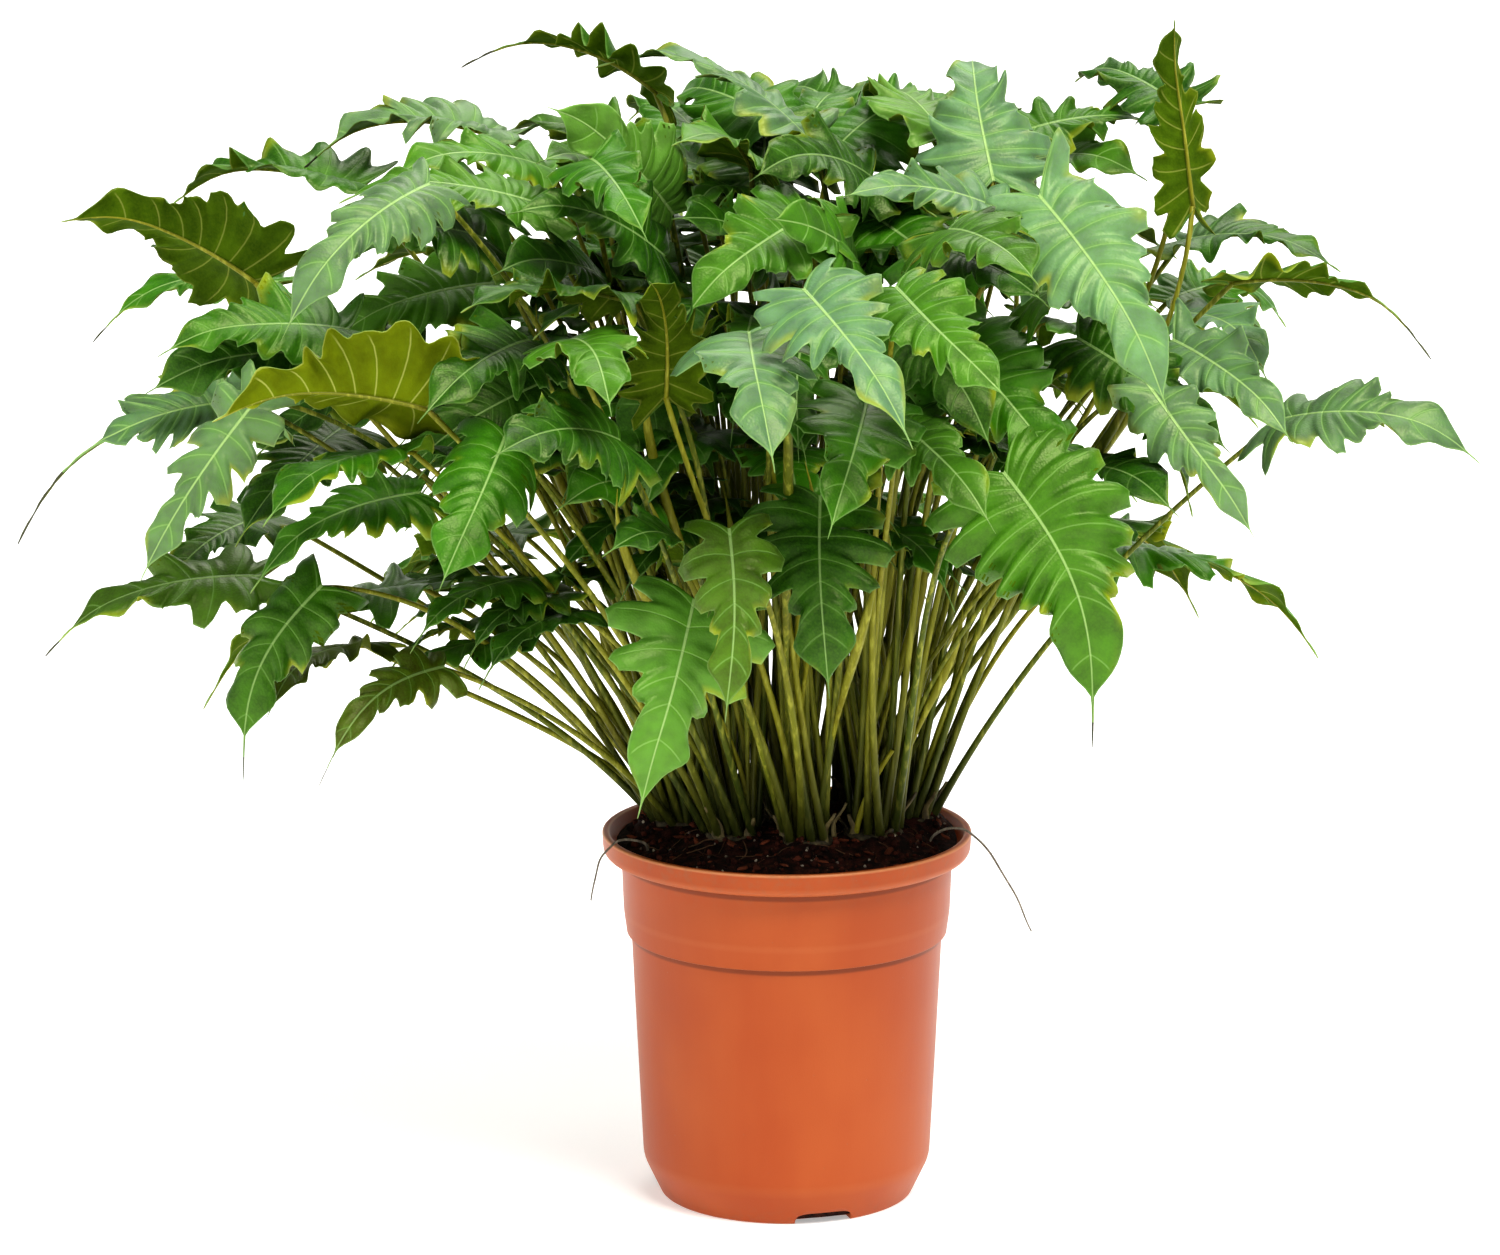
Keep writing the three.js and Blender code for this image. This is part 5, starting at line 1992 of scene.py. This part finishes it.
@dataclass
class Studio:
    """Pale floor, soft light and the camera of the front view."""

    pitch: float = math.radians(12.47)
    pan: float = 38 / 6330
    lens: float = 151.92
    sensor: float = 36.0
    floor_radius: float = 18.0
    floor_sides: int = 96
    bend_radius: float = 2.0
    wall_height: float = 4.0
    surround: Colour = (1.0, 0.99, 0.96)
    surround_strength: float = 0.2
    lamps: tuple[Lamp, ...] = (
        Lamp("key", 35, 60, 3.2, 30, (1.0, 0.985, 0.95)),
        Lamp("fill", -50, 32, 0.75, 60, (0.97, 0.99, 1.0)),
        Lamp("back", 165, 48, 1.2, 40, (1.0, 1.0, 1.0)),
    )

    def floor(self) -> None:
        """Adds the floor, which is not part of the object.

        Far off it curves up by a quarter circle into a low round wall, so that it fills every
        view from its own height to the top.
        """
        bend = np.linspace(0, math.pi / 2, 12)
        flat = self.floor_radius * np.linspace(0.02, 1, 6)[:-1]
        radius = np.concatenate([flat, self.floor_radius + self.bend_radius * np.sin(bend)])
        height = np.concatenate([0 * flat, self.bend_radius * (1 - np.cos(bend))])
        radius = np.append(radius, radius[-1])[::-1, None]
        height = np.append(height, self.wall_height)[::-1, None]
        form = Form()
        index = form.add_points(turned(radius, height, circle(self.floor_sides)))
        form.add_grid(index, closed=True)
        form.add_cap(index[-1], form.add_points(np.zeros((1, 3)))[0])
        form.build("floor", [FloorFinish().build()])

    def light(self) -> None:
        """Adds a pale surround, a key from the upper right, a fill from the left and a back light."""
        world = bpy.data.worlds.new("surround")
        world.use_nodes = True
        background = world.node_tree.nodes["Background"]
        background.inputs["Color"].default_value = (*self.surround, 1.0)
        background.inputs["Strength"].default_value = self.surround_strength
        bpy.context.scene.world = world
        for lamp in self.lamps:
            lamp.hang()

    def camera(self) -> None:
        """Adds the camera at the eye of the front view and makes it the scene's own."""
        data = bpy.data.cameras.new("front_view")
        data.sensor_width, data.lens = self.sensor, self.lens
        camera = bpy.data.objects.new("front_view", data)
        camera.location = EYE
        camera.rotation_euler = (math.pi / 2 - self.pitch, 0.0, self.pan)
        bpy.context.scene.collection.objects.link(camera)
        bpy.context.scene.camera = camera
        bpy.context.scene.view_settings.view_transform = "Standard"
        bpy.context.scene.view_settings.look = "Medium High Contrast"

    def build(self) -> None:
        """Makes the floor, the lights and the camera."""
        self.floor()
        self.light()
        self.camera()


# Measures of this plant, in millimetres

CROWN_PLACES = {
    "left": (-70, 12),
    "front_left": (-34, -26),
    "front": (12, -38),
    "front_right": (56, -22),
    "right": (78, 20),
    "back_right": (48, 58),
    "back": (-4, 72),
    "back_left": (-52, 56),
    "middle": (4, 14),
}

LEAF_ROWS = {
    "left": (
        LeafRow((-344, 605, -40), (-458, 653, -60), -50, 0.95, 0.1, fold=0.35, cut=0.25, tone=Tone.OLIVE),
        LeafRow((-340, 600, 30), (-438, 576, 20), 10, 0.5, 0.12, drip=20),
        LeafRow((-293, 572, -90), (-395, 567, -130), 25, 0.7),
        LeafRow((-290, 552, -90), (-408, 537, -120), 35, 0.7, 0.1),
        LeafRow((-344, 526, -60), (-499, 447, -90), 40, 0.5, 0.19, drip=72, tone=Tone.SAGE),
        LeafRow((-340, 411, -30), (-482, 371, -50), 30, 0.6, drip=20, lobes=5, tone=Tone.MOSS),
        LeafRow(
            (-304, 397, -90), (-352, 285, -110), 60, 0.72, drip=24, roll=2.7, cut=0.45, bow=0.11,
            lobes=4, tone=Tone.RICH,
        ),
        LeafRow((-283, 360, -10), (-331, 336, -80), -20, 0.6, tone=Tone.BRONZE),
        LeafRow(
            (-233, 341, -90), (-296, 283, -150), 70, 0.42, 0.1, drip=20, roll=2.4, cut=0.55, bow=0.11,
            lobes=4, tone=Tone.BRONZE,
        ),
        LeafRow((-295, 500, 10), (-350, 447, -60), 35, 0.8, 0.1),
        LeafRow((-339, 444, 60), (-399, 407, -10), 25, 0.6, 0.1),
        LeafRow((-240, 556, 10), (-338, 500, -30), 45, 0.75, tone=Tone.DEEP),
    ),
    "front_left": (
        LeafRow(
            (-231, 521, -190), (-370, 523, -230), -52, 0.9, 0.06, fold=0.5, roll=0.7, cut=0.08,
            tone=Tone.GOLDEN,
        ),
        LeafRow((-186, 493, -200), (-221, 414, -270), 80, roll=2.0, cut=0.4, lobes=4, tone=Tone.RICH),
        LeafRow(
            (-341, 526, -150), (-417, 413, -180), 60, 0.5, roll=2.2, cut=0.55, lobes=5, tone=Tone.SAGE,
        ),
        LeafRow((-250, 490, -150), (-334, 460, -220), -20),
        LeafRow((-250, 460, -90), (-339, 420, -130), 35, 0.6),
        LeafRow((-229, 666, -160), (-324, 578, -240), 45, 0.58, 0.12, roll=2.4, cut=0.42, tone=Tone.SAGE),
        LeafRow((-172, 656, -60), (-277, 668, -90), 30, 0.65),
        LeafRow((-108, 592, -150), (-204, 592, -220), -15, 0.8, 0.06),
        LeafRow((-172, 562, -140), (-229, 529, -230), 50),
        LeafRow((-114, 500, -220), (-182, 496, -310), 55),
        LeafRow((-204, 631, -60), (-287, 624, -130), 40),
        LeafRow((-150, 540, -30), (-246, 486, -80), 50),
    ),
    "front": (
        LeafRow((-62, 389, -180), (-96, 265, -215), 75, 0.9, roll=0.7, cut=0.5, lobes=4, tone=Tone.LIME),
        LeafRow((-38, 420, -220), (-40, 335, -250), 60, 0.6, cut=0.45, lobes=4, tone=Tone.MOSS),
        LeafRow((-23, 563, -210), (-10, 500, -300), 55, 0.86, 0.1, cut=0.48, lobes=4, tone=Tone.PALE_PAINTED_SHEEN),
        LeafRow((15, 593, -230), (75, 517, -310), 60, 0.72, 0.06, tone=Tone.PALE_PAINTED_SHEEN),
        LeafRow((11, 559, -110), (8, 506, -190), 60, 0.6),
        LeafRow((48, 516, -200), (30, 453, -280), 75, cut=0.4, lobes=4, tone=Tone.RICH),
        LeafRow((22, 450, -165), (27, 349, -215), 75, 0.85, cut=0.5, lobes=5, tone=Tone.DEEP),
        LeafRow((-137, 562, -190), (-117, 531, -285), 50, 0.7),
        LeafRow((-89, 460, -60), (-137, 470, -150), 50),
        LeafRow((-63, 420, -160), (-105, 440, -240), 45),
        LeafRow((-79, 536, -140), (-88, 605, -210), -75, 0.55),
    ),
    "front_right": (
        LeafRow(
            (139, 480, -190), (200, 304, -240), 65, 0.78, 0.07, drip=25, cut=0.28, bow=-0.1,
            tone=Tone.FRESH,
        ),
        LeafRow((78, 506, -170), (127, 460, -250), 50, 0.6),
        LeafRow((78, 592, -220), (136, 536, -290), 55, 0.65, tone=Tone.FRESH),
        LeafRow((160, 660, -130), (246, 533, -210), 55, 0.66, 0.06, tone=Tone.PALE_PAINTED_SHEEN),
        LeafRow((72, 572, -120), (126, 513, -190), 50),
        LeafRow((97, 624, -90), (161, 599, -170), 45),
        LeafRow((174, 592, -100), (226, 572, -165), 40),
        LeafRow((110, 634, -140), (155, 612, -225), 50),
        LeafRow((136, 647, -40), (40, 663, -90), 30, 0.5, tone=Tone.PALE_PAINTED_SHEEN),
        LeafRow((112, 560, -120), (176, 484, -180), 50),
    ),
    "right": (
        LeafRow((257, 559, -80), (318, 516, -150), 50, 0.6, tone=Tone.SAGE),
        LeafRow((321, 513, -90), (440, 501, -120), 20, 0.66, 0.12, tone=Tone.SAGE),
        LeafRow((238, 529, -120), (299, 450, -150), 50, 0.5, tone=Tone.SAGE),
        LeafRow((185, 480, -80), (243, 468, -160), 30, tone=Tone.DEEP),
        LeafRow((206, 529, -70), (262, 470, -130), -30, 0.5, tone=Tone.OLIVE),
        LeafRow((174, 572, 40), (238, 536, -20), -30),
        LeafRow((257, 579, 50), (302, 559, -30), 20, 0.7, tone=Tone.PALE_PAINTED_SHEEN),
        LeafRow((289, 603, -50), (411, 576, -70), -20, 0.48, 0.1, drip=42, cut=0.1, tone=Tone.OLIVE),
        LeafRow((196, 560, -90), (280, 500, -130), 45, 0.7),
    ),
    "back_right": (
        LeafRow(
            (257, 656, 20), (236, 778, 10), -75, 0.52, 0.06, turn=40, fold=0.6, cut=0.4, bow=-0.07,
            tone=Tone.OLIVE,
        ),
        LeafRow((241, 720, 90), (186, 741, 170), 40, 0.6),
        LeafRow((155, 679, 140), (217, 685, 60), 50),
        LeafRow((161, 701, 80), (244, 701, 130), 30, 0.4, 0.12, drip=42),
        LeafRow((264, 629, 90), (342, 623, 40), 15, 0.7),
        LeafRow((254, 592, 130), (315, 592, 190), 25, 0.6),
        LeafRow((129, 682, 0), (118, 751, 70), 60, tone=Tone.PALE_PAINTED_SHEEN),
        LeafRow((150, 626, 40), (232, 592, -10), 45, 0.75),
    ),
    "back": (
        LeafRow((-88, 727, 60), (-202, 752, 90), -28, 0.62, 0.12, drip=36, tone=Tone.RICH),
        LeafRow((40, 701, 180), (-2, 730, 270), 40),
    ),
    "back_left": (
        LeafRow((-284, 666, 60), (-384, 672, 70), 10, 0.75, fold=0.35, tone=Tone.RICH),
        LeafRow((-181, 695, 80), (-312, 688, 60), 4, 0.7, 0.12, drip=26, fold=0.5, tone=Tone.SAGE),
        LeafRow((-159, 676, 20), (-247, 681, -40), 20, 0.65),
        LeafRow((-120, 663, 10), (-151, 690, -70), 40, 0.7),
        LeafRow((-196, 600, 40), (-300, 566, 0), 40, 0.75),
        LeafRow((-200, 650, 0), (-300, 622, -40), 40, 0.7),
    ),
    "middle": (
        LeafRow((20, 688, 10), (-117, 760, 70), -10, 0.5, 0.1, tone=Tone.SAGE),
        LeafRow((-18, 711, 80), (-66, 727, 160), 40, 0.7),
        LeafRow((-17, 676, 40), (-15, 715, 120), -30, 0.7),
        LeafRow((-28, 679, -10), (-63, 701, -90), 45),
        LeafRow((46, 672, 0), (-15, 679, -80), 50),
        LeafRow((94, 701, 40), (56, 728, 130), -40, tone=Tone.LIME),
        LeafRow((113, 666, 40), (97, 702, 120), -20, 0.6),
        LeafRow((-18, 618, -20), (-63, 647, -100), 50),
        LeafRow((40, 618, -60), (-5, 647, -140), 55),
        LeafRow((-82, 656, -30), (-146, 718, -70), 60, 0.85, tone=Tone.LIME),
        LeafRow((-88, 624, -70), (-168, 656, -130), 50, 0.6),
        LeafRow((-120, 605, -30), (-184, 618, -120), 45, 0.7),
        LeafRow((-36, 566, -20), (-110, 500, -80), 55),
        LeafRow((62, 640, 0), (126, 588, -60), 50, 0.75),
        LeafRow((4, 640, -90), (-60, 596, -160), 50, 0.75),
        LeafRow((-120, 676, -110), (-95, 644, -190), 50, 0.6),
    ),
}

TIERS = (
    Tier(6, (4, 176), (225, 375), (410, 345), 30),
    Tier(6, (18, 162), (190, 345), (515, 480), 25),
    Tier(5, (25, 155), (140, 295), (600, 600), 20),
    Tier(4, (45, 145), (70, 215), (665, 690), 15),
    Tier(15, (-52, 232), (70, 165), (440, 405), 45, (16, 60), inner=True),
    Tier(17, (-172, 168), (80, 190), (525, 495), 40, (18, 60), inner=True),
    Tier(15, (-165, 170), (70, 175), (600, 590), 30, (18, 50), inner=True),
    Tier(8, (-160, 155), (30, 125), (655, 660), 20, (20, 40), inner=True),
    Tier(9, (152, 222), (150, 240), (505, 480), 40, (12, 60), inner=True),
    Tier(7, (-38, 28), (150, 235), (510, 485), 40, (12, 60), inner=True),
    Tier(8, (158, 228), (165, 255), (400, 372), 45, (12, 60), inner=True),
    Tier(13, (-150, -20), (60, 130), (500, 478), 50, (16, 110), inner=True),
    Tier(6, (150, 222), (120, 215), (585, 565), 35, (14, 50), inner=True),
)
TIER_CROWNS = (
    ("left", -150), ("front_left", -110), ("front", -70), ("front_right", -25), ("right", 25),
    ("back_right", 60), ("back", 115), ("back_left", 155), ("left", 181),
)

ROOT_ROUTES = {
    "left": (
        (-90, -40, 226), (-90, -40, 241), (-100, -45, 247), (-111, -50, 246), (-121, -55, 234),
        (-126, -58, 210),
    ),
    "right": (
        (94, -17, 226), (94, -17, 241), (104, -19, 248), (117, -21, 247), (131, -24, 234), (147, -27, 208),
        (159, -29, 182),
    ),
}


def main() -> None:
    """Builds the plant in its pot."""
    logging.basicConfig(level=logging.INFO, format="%(message)s")
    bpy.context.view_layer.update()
    Studio().build()
    pot = Pot()
    pot.build()
    Peat(pot, tuple(CROWN_PLACES.values())).build()
    root_finish = FibreFinish("dry_root", (0.105, 0.085, 0.062), (0.29, 0.245, 0.19), 0.003).build()
    for side, route in ROOT_ROUTES.items():
        LooseRoot(side, route).build(root_finish)
    Plant(CROWN_PLACES, LEAF_ROWS, TIERS, TIER_CROWNS).build()


if __name__ == "__main__":
    main()
